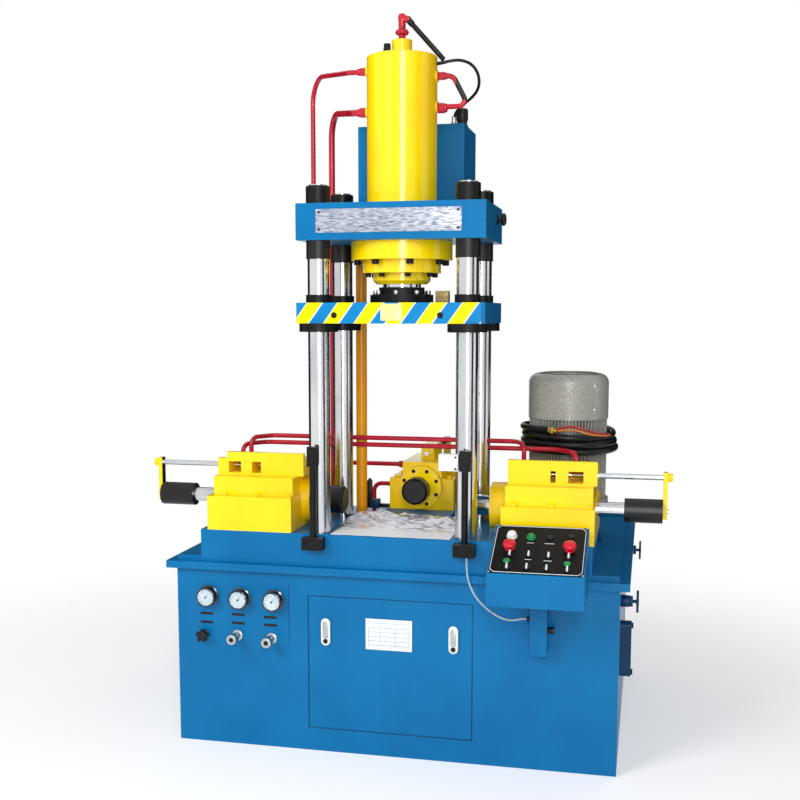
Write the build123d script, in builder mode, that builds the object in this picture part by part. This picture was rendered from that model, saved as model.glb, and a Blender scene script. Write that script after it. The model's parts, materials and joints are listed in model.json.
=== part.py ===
from build123d import *
import math
import os

# Four-column hydraulic press with three horizontal core-pulling rams around its table.
# Millimetres. X to the right, Y to the back, Z up. The origin is on the floor,
# under the centre of the four columns.

os.makedirs("parts", exist_ok=True)

# Fits
seat_gap = 0.3
running_gap = 0.08
edge_break = 3

# Cabinet, which is also the oil tank
cabinet_width = 1510
cabinet_front = -196
cabinet_back = 900
cabinet_height = 619
cabinet_wall = 6
cabinet_floor_plate = 10

# Lift-off cover in the cabinet's front
cover_width = 560
cover_height = 461
cover_bottom = 81
cover_gap = 2.5
cover_land = 22
cover_plate = 4
latch_width = 33
latch_height = 92
latch_proud = 3
latch_inset = 61
latch_centre_height = 421

# Tank lid with the stepped deck on it
lid_plate = 25
lid_overhang_side = 31
lid_overhang_front = 23
lid_overhang_back = 23
deck_plate = 16
deck_inset = 1.5
deck_front_inset = 8

# Bed
bed_width = 1330
bed_depth = 392
bed_top = 755
bed_arm_width = 262
bed_arm_reach = 480

# Columns
column_spacing_x = 500
column_spacing_y = 300
column_diameter = 72
tenon_diameter = 60
lower_tenon_length = 95
collar_diameter = 80
collar_height = 60
nut_diameter = 80
nut_height = 58
thread_end = 4

# Crosshead
beam_width = 630
beam_depth = 390
beam_corner = 4
crosshead_bottom = 1731
crosshead_thickness = 119

# Main cylinder
barrel_diameter = 235
barrel_bore = 180
barrel_bottom = 1670
barrel_top = 2337
barrel_end_wall = 20
barrel_head_wall = 34
head_boss_diameter = 67
head_boss_height = 54
port_diameter = 38
port_reach = 122
left_port_heights = (2296, 2163)
right_port_heights = (2271, 2172)
support_ring_diameter = 343
gland_diameter = 265
gland_depth = 43
gland_nose_diameter = 195
gland_nose_depth = 37
gland_nose_chamfer = 12

# Main ram and platen, at the top of their travel
ram_diameter = 130
piston_height = 60
piston_top_gap = 15
ram_foot_diameter = 215
ram_foot_thickness = 27
ram_neck_diameter = 155
ram_neck_height = 25
platen_bottom = 1460
platen_thickness = 68
bush_diameter = 84
bush_rise = 26
bush_flange_diameter = 130
bush_flange_thickness = 28

# Oil tank behind the main cylinder
upper_tank_width = 376
upper_tank_front = 140
upper_tank_back = 400
upper_tank_top = 2140
upper_tank_shelf = 12
upper_tank_wall = 5
shelf_rib_depth = 90
shelf_rib_thickness = 12
breather_diameter = 34
breather_height = 62
breather_x = 166
breather_y = 225

# Side rams
core_axis_rise = 88
core_axis_height = bed_top + core_axis_rise
core_body_length = 300
core_base_rise = 29
core_block_rise = 91
core_block_inset = 8
core_gland_diameter = 160
core_bore = 110
core_bore_end_wall = 26
core_rod_diameter = 70
core_tail_diameter = 50
core_stub_diameter = 16
core_piston_length = 40
core_nose_diameter = 97
core_nose_length = 62
core_nose_reach = 139
core_nose_chamfer = 8
core_sleeve_diameter = 80
core_sleeve_length = 124
core_tail_reach = 565
guide_rod_diameter = 18
guide_rod_rise = 113
guide_rod_length = 465
guide_window_drop = 15
guide_window_height = 39
guide_window_past_axis = 14
link_plate_thickness = 14
link_plate_width = 30
link_plate_drop = 25
link_plate_rise = 18
link_plate_inset = 6
link_nut_diameter = 30
link_nut_thickness = 16
side_core_base_width = 392
side_core_block_width = 300
side_core_housing_rise = 34
side_core_housing_back = 24
side_core_cover_front = 97
side_core_cover_thickness = 20
side_core_cover_rise = 57
left_core_housing_start = -297
left_core_housing_end = 15
right_core_housing_start = -302
right_core_housing_end = -10
left_cover_step_length = 34
left_cover_step_drop = 22
rear_core_base_width = 246
rear_core_block_width = 150
rear_core_housing_width = 50
rear_core_housing_rise = 29
rear_core_housing_start = -292
rear_core_housing_end = -118
left_core_inset = 25
right_core_inset = -5
rear_core_face = 352
left_core_gland_reach = 28
right_core_gland_reach = 54
rear_core_gland_reach = 28
right_core_advance = 33

# Motor and pump
motor_x = 540
motor_y = 400
motor_top = 1275
cowl_diameter = 290
cowl_height = 162
cowl_corner = 34
motor_diameter = 282
motor_bottom = 800
motor_flange_diameter = 300
motor_flange_thickness = 20
bell_diameter = 210
bell_flange_diameter = 260
bell_flange_thickness = 16

# Control desk
desk_left = 360
desk_right = 656
desk_back = -225
desk_front = -450
desk_bottom = 609
desk_back_top = 819
desk_front_top = 711
panel_thickness = 3
panel_margin = 5
post_width = 55
post_depth = 60
post_left = 475
post_bottom = 402

# Upright sensor bars in front of the columns
sensor_bar_x = 256
sensor_bar_y = -215
sensor_bar_diameter = 22
sensor_bar_top = 1053
sensor_clamp_width = 36
sensor_clamp_height = 66
sensor_clamp_depth = 22
sensor_base_width = 72
sensor_base_height = 42
sensor_base_bottom = 706
sensor_base_depth = 38

# Fittings on the cabinet's right side
gauge_depth = 36
gauge_width = 52
gauge_bottom = 280
gauge_height = 184
gauge_corner = 12
valve_height = 535
valve_front_y = 0
valve_back_y = 840
valve_body_diameter = 40
valve_body_length = 40
wheel_diameter = 76
wheel_thickness = 9
spindle_diameter = 12

# Protective film on the table
film_width = 408
film_front = -192
film_back = 190
film_thickness = 2

# Pipes and leads
return_tube_diameter = 40
return_tube_bend = 45
pipe_diameter = 17
wide_pipe_diameter = 22
fitting_diameter = 44
fitting_height = 86
feed_height = 71
feed_drop = 7
upper_route_rise = 105
lower_route_rise = 80
feed_bend = 25
feed_pipe_diameter = 20
hose_diameter = 10
conduit_diameter = 7
coil_cable_diameter = 24
coil_bottom = 985
coil_turns = 4
coil_inner_radius = 152
terminal_box_width = 130
terminal_box_height = 120
terminal_box_reach = 70

# Worked-out sizes
core_base_top = core_axis_height + core_base_rise
core_block_top = core_axis_height + core_block_rise
guide_rod_height = core_axis_height + guide_rod_rise
guide_window_bottom = guide_rod_height - guide_window_drop
link_plate_bottom = core_axis_height - link_plate_drop
link_plate_top = guide_rod_height + link_plate_rise
side_core_housing_top = guide_rod_height + side_core_housing_rise
side_core_cover_top = guide_rod_height + side_core_cover_rise
rear_core_housing_top = guide_rod_height + rear_core_housing_rise
left_core_face = bed_width / 2 - core_body_length - left_core_inset
right_core_face = bed_width / 2 - core_body_length - right_core_inset
upper_route = core_block_top + upper_route_rise
lower_route = core_block_top + lower_route_rise
cabinet_depth = cabinet_back - cabinet_front
cabinet_centre_y = (cabinet_back + cabinet_front) / 2
lid_top = cabinet_height + lid_plate
deck_top = lid_top + deck_plate
crosshead_top = crosshead_bottom + crosshead_thickness
platen_top = platen_bottom + platen_thickness
bed_front = -bed_depth / 2
bed_arm_back = bed_depth / 2 + bed_arm_reach
column_places = {
    "front_left": (-column_spacing_x / 2, -column_spacing_y / 2),
    "front_right": (column_spacing_x / 2, -column_spacing_y / 2),
    "back_left": (-column_spacing_x / 2, column_spacing_y / 2),
    "back_right": (column_spacing_x / 2, column_spacing_y / 2),
}


# Cabinet: an open-topped welded tank with a framed opening in its front
with BuildPart() as cabinet:
    with BuildSketch(Plane.XY):
        with Locations((0, cabinet_centre_y)):
            Rectangle(cabinet_width, cabinet_depth)
    extrude(amount=cabinet_height)
    with BuildSketch(Plane.XY.offset(cabinet_floor_plate)):
        with Locations((0, cabinet_centre_y)):
            Rectangle(cabinet_width - 2 * cabinet_wall, cabinet_depth - 2 * cabinet_wall)
    extrude(amount=cabinet_height, mode=Mode.SUBTRACT)
    with BuildSketch(Plane.XZ.offset(-cabinet_front - cabinet_wall)):
        with Locations((0, cover_bottom + cover_height / 2)):
            Rectangle(cover_width + 2 * cover_land, cover_height + 2 * cover_land)
    extrude(amount=-cabinet_wall)
    with BuildSketch(Plane.XZ.offset(-cabinet_front)):
        with Locations((0, cover_bottom + cover_height / 2)):
            Rectangle(cover_width - 2 * cover_land, cover_height - 2 * cover_land)
    extrude(amount=-2 * cabinet_wall, mode=Mode.SUBTRACT)
    with BuildSketch(Plane.XZ.offset(-cabinet_front)):
        with Locations((0, cover_bottom + cover_height / 2)):
            Rectangle(cover_width + 2 * cover_gap, cover_height + 2 * cover_gap)
    extrude(amount=-cabinet_wall, mode=Mode.SUBTRACT)
cabinet.part.label = "cabinet"
export_step(cabinet.part, "parts/cabinet.step")

# Lift-off cover, resting on the opening's land
with BuildPart() as access_cover:
    with BuildSketch(Plane.XZ.offset(-cabinet_front - cabinet_wall)):
        with Locations((0, cover_bottom + cover_height / 2)):
            Rectangle(cover_width, cover_height)
    extrude(amount=cover_plate)
    for side in (-1, 1):
        with BuildSketch(Plane.XZ.offset(-cabinet_front - cabinet_wall + cover_plate)):
            with Locations((side * (cover_width / 2 - latch_inset), latch_centre_height)):
                RectangleRounded(latch_width, latch_height, edge_break)
        extrude(amount=latch_proud)
access_cover.part.label = "access_cover"
export_step(access_cover.part, "parts/access_cover.step")

# Tank lid: a rim plate that overhangs the cabinet, with the deck plate around the bed
with BuildPart() as tank_lid:
    lid_depth = cabinet_depth + lid_overhang_front + lid_overhang_back
    lid_centre_y = cabinet_centre_y + (lid_overhang_back - lid_overhang_front) / 2
    with BuildSketch(Plane.XY.offset(cabinet_height)):
        with Locations((0, lid_centre_y)):
            Rectangle(cabinet_width + 2 * lid_overhang_side, lid_depth)
    extrude(amount=lid_plate)
    with BuildSketch(Plane.XY.offset(lid_top)):
        with Locations((0, cabinet_centre_y + deck_front_inset / 2)):
            Rectangle(cabinet_width - 2 * deck_inset, cabinet_depth - deck_front_inset)
    extrude(amount=deck_plate)
    with BuildSketch(Plane.XY.offset(lid_top)):
        Rectangle(bed_width, bed_depth)
        with Locations((0, bed_arm_back)):
            Rectangle(bed_arm_width, bed_arm_reach, align=(Align.CENTER, Align.MAX))
    extrude(amount=deck_plate, mode=Mode.SUBTRACT)
tank_lid.part.label = "tank_lid"
export_step(tank_lid.part, "parts/tank_lid.step")

# Bed: the wide block under the columns and side rams, with an arm to the back
with BuildPart() as bed_block:
    with BuildSketch(Plane.XY.offset(lid_top)):
        Rectangle(bed_width, bed_depth)
        with Locations((0, bed_arm_back)):
            Rectangle(bed_arm_width, bed_arm_reach, align=(Align.CENTER, Align.MAX))
        with GridLocations(column_spacing_x, column_spacing_y, 2, 2):
            Circle(tenon_diameter / 2 + seat_gap, mode=Mode.SUBTRACT)
    extrude(amount=bed_top - lid_top)
bed_block.part.label = "bed_block"
export_step(bed_block.part, "parts/bed_block.step")

# Columns: shouldered on the bed, with a collar under the crosshead and a threaded end above it
for place, (x, y) in column_places.items():
    steps = (
        (bed_top - lower_tenon_length, tenon_diameter, lower_tenon_length),
        (bed_top, column_diameter, crosshead_bottom - bed_top),
        (crosshead_bottom - collar_height, collar_diameter, collar_height),
        (crosshead_bottom, tenon_diameter, crosshead_thickness + nut_height + thread_end),
    )
    with BuildPart() as column:
        for bottom, diameter, height in steps:
            with BuildSketch(Plane.XY.offset(bottom)):
                with Locations((x, y)):
                    Circle(diameter / 2)
            extrude(amount=height)
    column.part.label = f"column_{place}"
    export_step(column.part, f"parts/column_{place}.step")

    with BuildPart() as column_nut:
        with BuildSketch(Plane.XY.offset(crosshead_top)):
            with Locations((x, y)):
                Circle(nut_diameter / 2)
                Circle(tenon_diameter / 2 + seat_gap, mode=Mode.SUBTRACT)
        extrude(amount=nut_height)
        chamfer(column_nut.faces().sort_by(Axis.Z)[-1].outer_wire().edges(), edge_break)
    column_nut.part.label = f"column_nut_{place}"
    export_step(column_nut.part, f"parts/column_nut_{place}.step")

# Crosshead, bored for the columns and the main cylinder
with BuildPart() as crosshead:
    with BuildSketch(Plane.XY.offset(crosshead_bottom)):
        RectangleRounded(beam_width, beam_depth, beam_corner)
        with GridLocations(column_spacing_x, column_spacing_y, 2, 2):
            Circle(tenon_diameter / 2 + seat_gap, mode=Mode.SUBTRACT)
        Circle(barrel_diameter / 2 + seat_gap, mode=Mode.SUBTRACT)
    extrude(amount=crosshead_thickness)
crosshead.part.label = "crosshead"
export_step(crosshead.part, "parts/crosshead.step")

# Main cylinder barrel with its closed head
with BuildPart() as main_cylinder:
    with BuildSketch(Plane.XY.offset(barrel_bottom)):
        Circle(barrel_diameter / 2)
    extrude(amount=barrel_top - barrel_bottom)
    with BuildSketch(Plane.XY.offset(barrel_top)):
        Circle(head_boss_diameter / 2)
    extrude(amount=head_boss_height)
    with BuildSketch(Plane.XY.offset(barrel_bottom + barrel_end_wall)):
        Circle(barrel_bore / 2)
    bore_length = barrel_top - barrel_bottom - barrel_end_wall - barrel_head_wall
    extrude(amount=bore_length, mode=Mode.SUBTRACT)
    with BuildSketch(Plane.XY.offset(barrel_bottom)):
        Circle(ram_diameter / 2 + running_gap)
    extrude(amount=barrel_end_wall, mode=Mode.SUBTRACT)
    chamfer(main_cylinder.edges().filter_by(GeomType.CIRCLE).group_by(Axis.Z)[-2], edge_break)
    for side, heights in ((-1, left_port_heights), (1, right_port_heights)):
        for height in heights:
            with BuildSketch(Plane.YZ.offset(side * port_reach)):
                with Locations((0, height)):
                    Circle(port_diameter / 2)
            extrude(amount=side * (barrel_bore / 2 + port_diameter / 2 - port_reach))
main_cylinder.part.label = "main_cylinder"
export_step(main_cylinder.part, "parts/main_cylinder.step")

# Support ring that carries the barrel under the crosshead
with BuildPart() as support_ring:
    with BuildSketch(Plane.XY.offset(barrel_bottom)):
        Circle(support_ring_diameter / 2)
        Circle(barrel_diameter / 2 + seat_gap, mode=Mode.SUBTRACT)
    extrude(amount=crosshead_bottom - barrel_bottom)
support_ring.part.label = "support_ring"
export_step(support_ring.part, "parts/support_ring.step")

# Stepped gland ring under the barrel
gland_bottom = barrel_bottom - gland_depth - gland_nose_depth
with BuildPart() as gland_ring:
    with BuildSketch(Plane.XY.offset(barrel_bottom - gland_depth)):
        Circle(gland_diameter / 2)
    extrude(amount=gland_depth)
    with BuildSketch(Plane.XY.offset(gland_bottom)):
        Circle(gland_nose_diameter / 2)
    extrude(amount=gland_nose_depth)
    chamfer(gland_ring.edges().group_by(Axis.Z)[0], gland_nose_chamfer)
    with BuildSketch(Plane.XY.offset(gland_bottom)):
        Circle(ram_diameter / 2 + running_gap)
    extrude(amount=gland_depth + gland_nose_depth, mode=Mode.SUBTRACT)
gland_ring.part.label = "gland_ring"
export_step(gland_ring.part, "parts/gland_ring.step")

# Main ram with its piston
piston_top = barrel_top - barrel_head_wall - piston_top_gap
with BuildPart() as main_ram:
    with BuildSketch(Plane.XY.offset(platen_top)):
        Circle(ram_diameter / 2)
    extrude(amount=piston_top - platen_top)
    with BuildSketch(Plane.XY.offset(piston_top - piston_height)):
        Circle(barrel_bore / 2 - running_gap)
    extrude(amount=piston_height)
main_ram.part.label = "main_ram"
export_step(main_ram.part, "parts/main_ram.step")

# Bolted foot that joins the ram to the platen
with BuildPart() as ram_foot:
    with BuildSketch(Plane.XY.offset(platen_top)):
        Circle(ram_foot_diameter / 2)
    extrude(amount=ram_foot_thickness)
    with BuildSketch(Plane.XY.offset(platen_top + ram_foot_thickness)):
        Circle(ram_neck_diameter / 2)
    extrude(amount=ram_neck_height)
    with BuildSketch(Plane.XY.offset(platen_top)):
        Circle(ram_diameter / 2 + seat_gap)
    extrude(amount=ram_foot_thickness + ram_neck_height, mode=Mode.SUBTRACT)
ram_foot.part.label = "ram_foot"
export_step(ram_foot.part, "parts/ram_foot.step")

# Platen, bored for its four guide bushes
with BuildPart() as platen:
    with BuildSketch(Plane.XY.offset(platen_bottom)):
        RectangleRounded(beam_width, beam_depth, beam_corner)
        with GridLocations(column_spacing_x, column_spacing_y, 2, 2):
            Circle(bush_diameter / 2 + seat_gap, mode=Mode.SUBTRACT)
    extrude(amount=platen_thickness)
platen.part.label = "platen"
export_step(platen.part, "parts/platen.step")

# Flanged guide bushes that slide on the columns
for place, (x, y) in column_places.items():
    with BuildPart() as guide_bush:
        with BuildSketch(Plane.XY.offset(platen_bottom - bush_flange_thickness)):
            with Locations((x, y)):
                Circle(bush_flange_diameter / 2)
        extrude(amount=bush_flange_thickness)
        with BuildSketch(Plane.XY.offset(platen_bottom)):
            with Locations((x, y)):
                Circle(bush_diameter / 2)
        extrude(amount=platen_thickness + bush_rise)
        with BuildSketch(Plane.XY.offset(platen_bottom - bush_flange_thickness)):
            with Locations((x, y)):
                Circle(column_diameter / 2 + running_gap)
        extrude(amount=bush_flange_thickness + platen_thickness + bush_rise, mode=Mode.SUBTRACT)
    guide_bush.part.label = f"guide_bush_{place}"
    export_step(guide_bush.part, f"parts/guide_bush_{place}.step")

# Upper oil tank on a ribbed shelf that reaches back from the crosshead
upper_tank_depth = upper_tank_back - upper_tank_front
upper_tank_centre_y = (upper_tank_back + upper_tank_front) / 2
upper_tank_bottom = crosshead_top + upper_tank_shelf
with BuildPart() as upper_tank:
    with BuildSketch(Plane.XY.offset(crosshead_top)):
        with Locations((0, upper_tank_centre_y)):
            Rectangle(upper_tank_width, upper_tank_depth)
    extrude(amount=upper_tank_top - crosshead_top)
    with BuildSketch(Plane.XY.offset(upper_tank_bottom)):
        with Locations((0, upper_tank_centre_y)):
            Rectangle(upper_tank_width - 2 * upper_tank_wall, upper_tank_depth - 2 * upper_tank_wall)
    extrude(amount=upper_tank_top - upper_tank_bottom - upper_tank_wall, mode=Mode.SUBTRACT)
    for side in (-1, 1):
        with BuildSketch(Plane.YZ.offset(side * upper_tank_width / 4)):
            with BuildLine():
                Polyline(
                    (beam_depth / 2, crosshead_top),
                    (beam_depth / 2, crosshead_top - shelf_rib_depth),
                    (upper_tank_back, crosshead_top),
                    close=True,
                )
            make_face()
        extrude(amount=shelf_rib_thickness / 2, both=True)
    with BuildSketch(Plane.XY.offset(upper_tank_top)):
        with Locations((breather_x, breather_y)):
            Circle(breather_diameter / 2)
    extrude(amount=breather_height)
upper_tank.part.label = "upper_tank"
export_step(upper_tank.part, "parts/upper_tank.step")


def core_plane(face, forward, distance):
    """Sketch plane square to a side ram's axis, a distance past its front face, with y up."""
    across = Vector(0, 0, 1).cross(forward)
    return Plane(origin=face + forward * distance, x_dir=across, z_dir=forward)


def build_core_body(ram):
    """Casting of one side ram: base, block, guide housing and gland, bored for its rods."""
    face = ram["face"]
    forward = ram["forward"]
    front_side = ram["front_side"]
    bore_end = core_body_length - core_bore_end_wall
    # Start and end past the face, diameter and height of each hole
    holes = (
        (-core_body_length, -bore_end, core_tail_diameter, core_axis_height),
        (-bore_end, -core_bore_end_wall, core_bore - 2 * running_gap, core_axis_height),
        (-core_bore_end_wall, ram["gland_reach"], core_rod_diameter, core_axis_height),
        (-core_tail_reach, core_nose_reach, guide_rod_diameter, guide_rod_height),
    )
    with BuildPart() as body:
        for start, end, front, back, bottom, top in ram["blocks"]:
            with BuildSketch(core_plane(face, forward, start)):
                with Locations((front_side * (front - back) / 2, bottom - core_axis_height)):
                    Rectangle(front + back, top - bottom, align=(Align.CENTER, Align.MIN))
            extrude(amount=end - start)
        with BuildSketch(core_plane(face, forward, -core_body_length / 2)):
            Circle(core_gland_diameter / 2)
        extrude(amount=core_body_length / 2 + ram["gland_reach"])
        for start, end, diameter, height in holes:
            with BuildSketch(core_plane(face, forward, start)):
                with Locations((0, height - core_axis_height)):
                    Circle(diameter / 2 + running_gap)
            extrude(amount=end - start, mode=Mode.SUBTRACT)
        for start, end in ram["windows"]:
            pocket_width = side_core_cover_front + guide_window_past_axis
            pocket_centre = front_side * (pocket_width / 2 - guide_window_past_axis)
            with BuildSketch(core_plane(face, forward, start)):
                with Locations((pocket_centre, guide_window_bottom - core_axis_height)):
                    Rectangle(pocket_width, guide_window_height, align=(Align.CENTER, Align.MIN))
            extrude(amount=end - start, mode=Mode.SUBTRACT)
    return body


def build_core_rod(face, forward):
    """Double-ended rod of one side ram: nose, rod, piston, tail, tail sleeve and end stub."""
    piston_back = core_bore_end_wall * 2 - core_body_length
    piston_front = piston_back + core_piston_length
    sleeve_start = link_plate_inset + link_plate_thickness - core_tail_reach
    steps = (
        (-core_tail_reach, core_stub_diameter, sleeve_start + core_tail_reach),
        (sleeve_start, core_sleeve_diameter, core_sleeve_length),
        (sleeve_start, core_tail_diameter, piston_back - sleeve_start),
        (piston_back, core_bore - 2 * running_gap, core_piston_length),
        (piston_front, core_rod_diameter, core_nose_reach - piston_front),
        (core_nose_reach - core_nose_length, core_nose_diameter, core_nose_length),
    )
    with BuildPart() as rod:
        for start, diameter, length in steps:
            with BuildSketch(core_plane(face, forward, start)):
                Circle(diameter / 2)
            extrude(amount=length)
        nose_edge = rod.edges().filter_by(GeomType.CIRCLE).sort_by(Axis(face, forward))[-1]
        chamfer(nose_edge, core_nose_chamfer)
    return rod


def build_core_link(face, forward):
    """Link plate on the rod's end stub, carrying the guide rod that runs in the housing."""
    plate_plane = core_plane(face, forward, link_plate_inset - core_tail_reach)
    with BuildPart() as link:
        with BuildSketch(plate_plane):
            with Locations((0, link_plate_bottom - core_axis_height)):
                plate_height = link_plate_top - link_plate_bottom
                Rectangle(link_plate_width, plate_height, align=(Align.CENTER, Align.MIN))
            Circle(core_stub_diameter / 2 + seat_gap, mode=Mode.SUBTRACT)
        extrude(amount=link_plate_thickness)
        with BuildSketch(plate_plane):
            with Locations((0, guide_rod_height - core_axis_height)):
                Circle(guide_rod_diameter / 2)
        extrude(amount=guide_rod_length)
        with BuildSketch(plate_plane):
            with Locations((0, guide_rod_height - core_axis_height)):
                RegularPolygon(link_nut_diameter / 2, 6)
        extrude(amount=-link_nut_thickness)
    return link


def core_blocks(base_width, block_width):
    """Base and block of one side ram: start, end, front, back, bottom and top of each."""
    block_start = core_block_inset - core_body_length
    half_base = base_width / 2
    half_block = block_width / 2
    return (
        (-core_body_length, 0, half_base, half_base, bed_top, core_base_top),
        (block_start, -core_block_inset, half_block, half_block, core_base_top, core_block_top),
    )


def side_core_blocks(start, end, step_length):
    """Blocks of a left or right ram, with its guide housing and the taller cover before it."""
    cover_front = side_core_cover_front
    cover_inside = side_core_cover_thickness - cover_front
    step_end = start + step_length
    step_top = side_core_cover_top - left_cover_step_drop
    housing_back = side_core_housing_back
    return core_blocks(side_core_base_width, side_core_block_width) + (
        (step_end, end, cover_front, housing_back, core_block_top, side_core_housing_top),
        (start, end, cover_front, cover_inside, core_block_top, step_top),
        (step_end, end, cover_front, cover_inside, core_block_top, side_core_cover_top),
    )


# The three side rams. Distances are along the axis, past the base's front face
rear_core_housing_half = rear_core_housing_width / 2
core_rams = {
    "left": {
        "face": Vector(-left_core_face, 0, core_axis_height),
        "forward": Vector(1, 0, 0),
        "front_side": -1,
        "blocks": side_core_blocks(left_core_housing_start, left_core_housing_end, left_cover_step_length),
        "windows": ((-257, -212), (-172, -139)),
        "gland_reach": left_core_gland_reach,
        "advance": 0,
    },
    "right": {
        "face": Vector(right_core_face, 0, core_axis_height),
        "forward": Vector(-1, 0, 0),
        "front_side": 1,
        "blocks": side_core_blocks(right_core_housing_start, right_core_housing_end, 0),
        "windows": ((-257, -208), (-167, -150)),
        "gland_reach": right_core_gland_reach,
        "advance": right_core_advance,
    },
    "rear": {
        "face": Vector(0, rear_core_face, core_axis_height),
        "forward": Vector(0, -1, 0),
        "front_side": 1,
        "blocks": core_blocks(rear_core_base_width, rear_core_block_width)
        + (
            (
                rear_core_housing_start,
                rear_core_housing_end,
                rear_core_housing_half,
                rear_core_housing_half,
                core_block_top,
                rear_core_housing_top,
            ),
        ),
        "windows": (),
        "gland_reach": rear_core_gland_reach,
        "advance": 0,
    },
}
for side, ram in core_rams.items():
    core_body = build_core_body(ram)
    core_body.part.label = f"{side}_core_body"
    export_step(core_body.part, f"parts/{side}_core_body.step")

    rod_face = ram["face"] + ram["forward"] * ram["advance"]
    core_rod = build_core_rod(rod_face, ram["forward"])
    core_rod.part.label = f"{side}_core_rod"
    export_step(core_rod.part, f"parts/{side}_core_rod.step")

    core_link = build_core_link(rod_face, ram["forward"])
    core_link.part.label = f"{side}_core_link"
    export_step(core_link.part, f"parts/{side}_core_link.step")

# Electric motor, upright on the pump's bell housing
with BuildPart() as motor_body:
    with BuildSketch(Plane.XY.offset(motor_bottom)):
        with Locations((motor_x, motor_y)):
            Circle(motor_diameter / 2)
    extrude(amount=motor_top - cowl_height - motor_bottom)
    with BuildSketch(Plane.XY.offset(motor_bottom)):
        with Locations((motor_x, motor_y)):
            Circle(motor_flange_diameter / 2)
    extrude(amount=motor_flange_thickness)
motor_body.part.label = "motor_body"
export_step(motor_body.part, "parts/motor_body.step")

with BuildPart() as fan_cowl:
    with BuildSketch(Plane.XY.offset(motor_top - cowl_height)):
        with Locations((motor_x, motor_y)):
            Circle(cowl_diameter / 2)
    extrude(amount=cowl_height)
    fillet(fan_cowl.edges().group_by(Axis.Z)[-1], cowl_corner)
fan_cowl.part.label = "fan_cowl"
export_step(fan_cowl.part, "parts/fan_cowl.step")

with BuildPart() as bell_housing:
    with BuildSketch(Plane.XY.offset(deck_top)):
        with Locations((motor_x, motor_y)):
            Circle(bell_diameter / 2)
    extrude(amount=motor_bottom - deck_top)
    for flange_bottom in (deck_top, motor_bottom - bell_flange_thickness):
        with BuildSketch(Plane.XY.offset(flange_bottom)):
            with Locations((motor_x, motor_y)):
                Circle(bell_flange_diameter / 2)
        extrude(amount=bell_flange_thickness)
bell_housing.part.label = "bell_housing"
export_step(bell_housing.part, "parts/bell_housing.step")

# Control desk with a sloping top, on a post welded to the cabinet's front
with BuildPart() as control_box:
    with BuildSketch(Plane.YZ.offset(desk_left)):
        with BuildLine():
            Polyline(
                (desk_back, desk_bottom),
                (desk_back, desk_back_top),
                (desk_front, desk_front_top),
                (desk_front, desk_bottom),
                close=True,
            )
        make_face()
    extrude(amount=desk_right - desk_left)
control_box.part.label = "control_box"
export_step(control_box.part, "parts/control_box.step")

slope_length = math.hypot(desk_back - desk_front, desk_back_top - desk_front_top)
slope_centre = Vector(
    (desk_left + desk_right) / 2, (desk_back + desk_front) / 2, (desk_back_top + desk_front_top) / 2
)
slope_normal = Vector(0, desk_front_top - desk_back_top, desk_back - desk_front).normalized()
slope_plane = Plane(origin=slope_centre, x_dir=Vector(1, 0, 0), z_dir=slope_normal)
with BuildPart() as control_panel:
    with BuildSketch(slope_plane):
        Rectangle(desk_right - desk_left - 2 * panel_margin, slope_length - 2 * panel_margin)
    extrude(amount=panel_thickness)
control_panel.part.label = "control_panel"
export_step(control_panel.part, "parts/control_panel.step")

with BuildPart() as control_post:
    with BuildSketch(Plane.XY.offset(post_bottom)):
        with Locations((post_left, cabinet_front)):
            Rectangle(post_width, post_depth, align=(Align.MIN, Align.MAX))
    extrude(amount=desk_bottom - post_bottom)
control_post.part.label = "control_post"
export_step(control_post.part, "parts/control_post.step")

# Upright sensor bars on feet bolted to the bed's front
for place, x in (("left", -sensor_bar_x), ("right", sensor_bar_x)):
    with BuildPart() as sensor_bar:
        with BuildSketch(Plane.XY.offset(sensor_base_bottom)):
            with Locations((x, bed_front)):
                Rectangle(sensor_base_width, sensor_base_depth, align=(Align.CENTER, Align.MAX))
        extrude(amount=sensor_base_height)
        with BuildSketch(Plane.XY.offset(sensor_base_bottom)):
            with Locations((x, sensor_bar_y)):
                Circle(sensor_bar_diameter / 2)
        extrude(amount=sensor_bar_top - sensor_base_bottom)
        with BuildSketch(Plane.XY.offset(sensor_bar_top - sensor_clamp_height)):
            with Locations((x, sensor_bar_y)):
                RectangleRounded(sensor_clamp_width, sensor_clamp_depth, edge_break)
        extrude(amount=sensor_clamp_height)
    sensor_bar.part.label = f"sensor_bar_{place}"
    export_step(sensor_bar.part, f"parts/sensor_bar_{place}.step")

# Level gauge and two stop valves on the cabinet's right side
cabinet_side = Plane.YZ.offset(cabinet_width / 2)
with BuildPart() as level_gauge:
    with BuildSketch(cabinet_side):
        with Locations((valve_front_y, gauge_bottom)):
            Rectangle(gauge_width, gauge_height, align=(Align.CENTER, Align.MIN))
    extrude(amount=gauge_depth)
    fillet(level_gauge.edges().filter_by(Axis.X), gauge_corner)
level_gauge.part.label = "level_gauge"
export_step(level_gauge.part, "parts/level_gauge.step")

for place, y in (("front", valve_front_y), ("back", valve_back_y)):
    with BuildPart() as stop_valve:
        with BuildSketch(cabinet_side):
            with Locations((y, valve_height)):
                Circle(valve_body_diameter / 2)
        extrude(amount=valve_body_length)
        with BuildSketch(cabinet_side):
            with Locations((y, valve_height)):
                Circle(spindle_diameter / 2)
        extrude(amount=valve_body_length + valve_body_diameter / 4)
        with BuildSketch(Plane.YZ.offset(cabinet_width / 2 + valve_body_length + valve_body_diameter / 4)):
            with Locations((y, valve_height)):
                Circle(wheel_diameter / 2)
        extrude(amount=wheel_thickness)
    stop_valve.part.label = f"stop_valve_{place}"
    export_step(stop_valve.part, f"parts/stop_valve_{place}.step")

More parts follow.
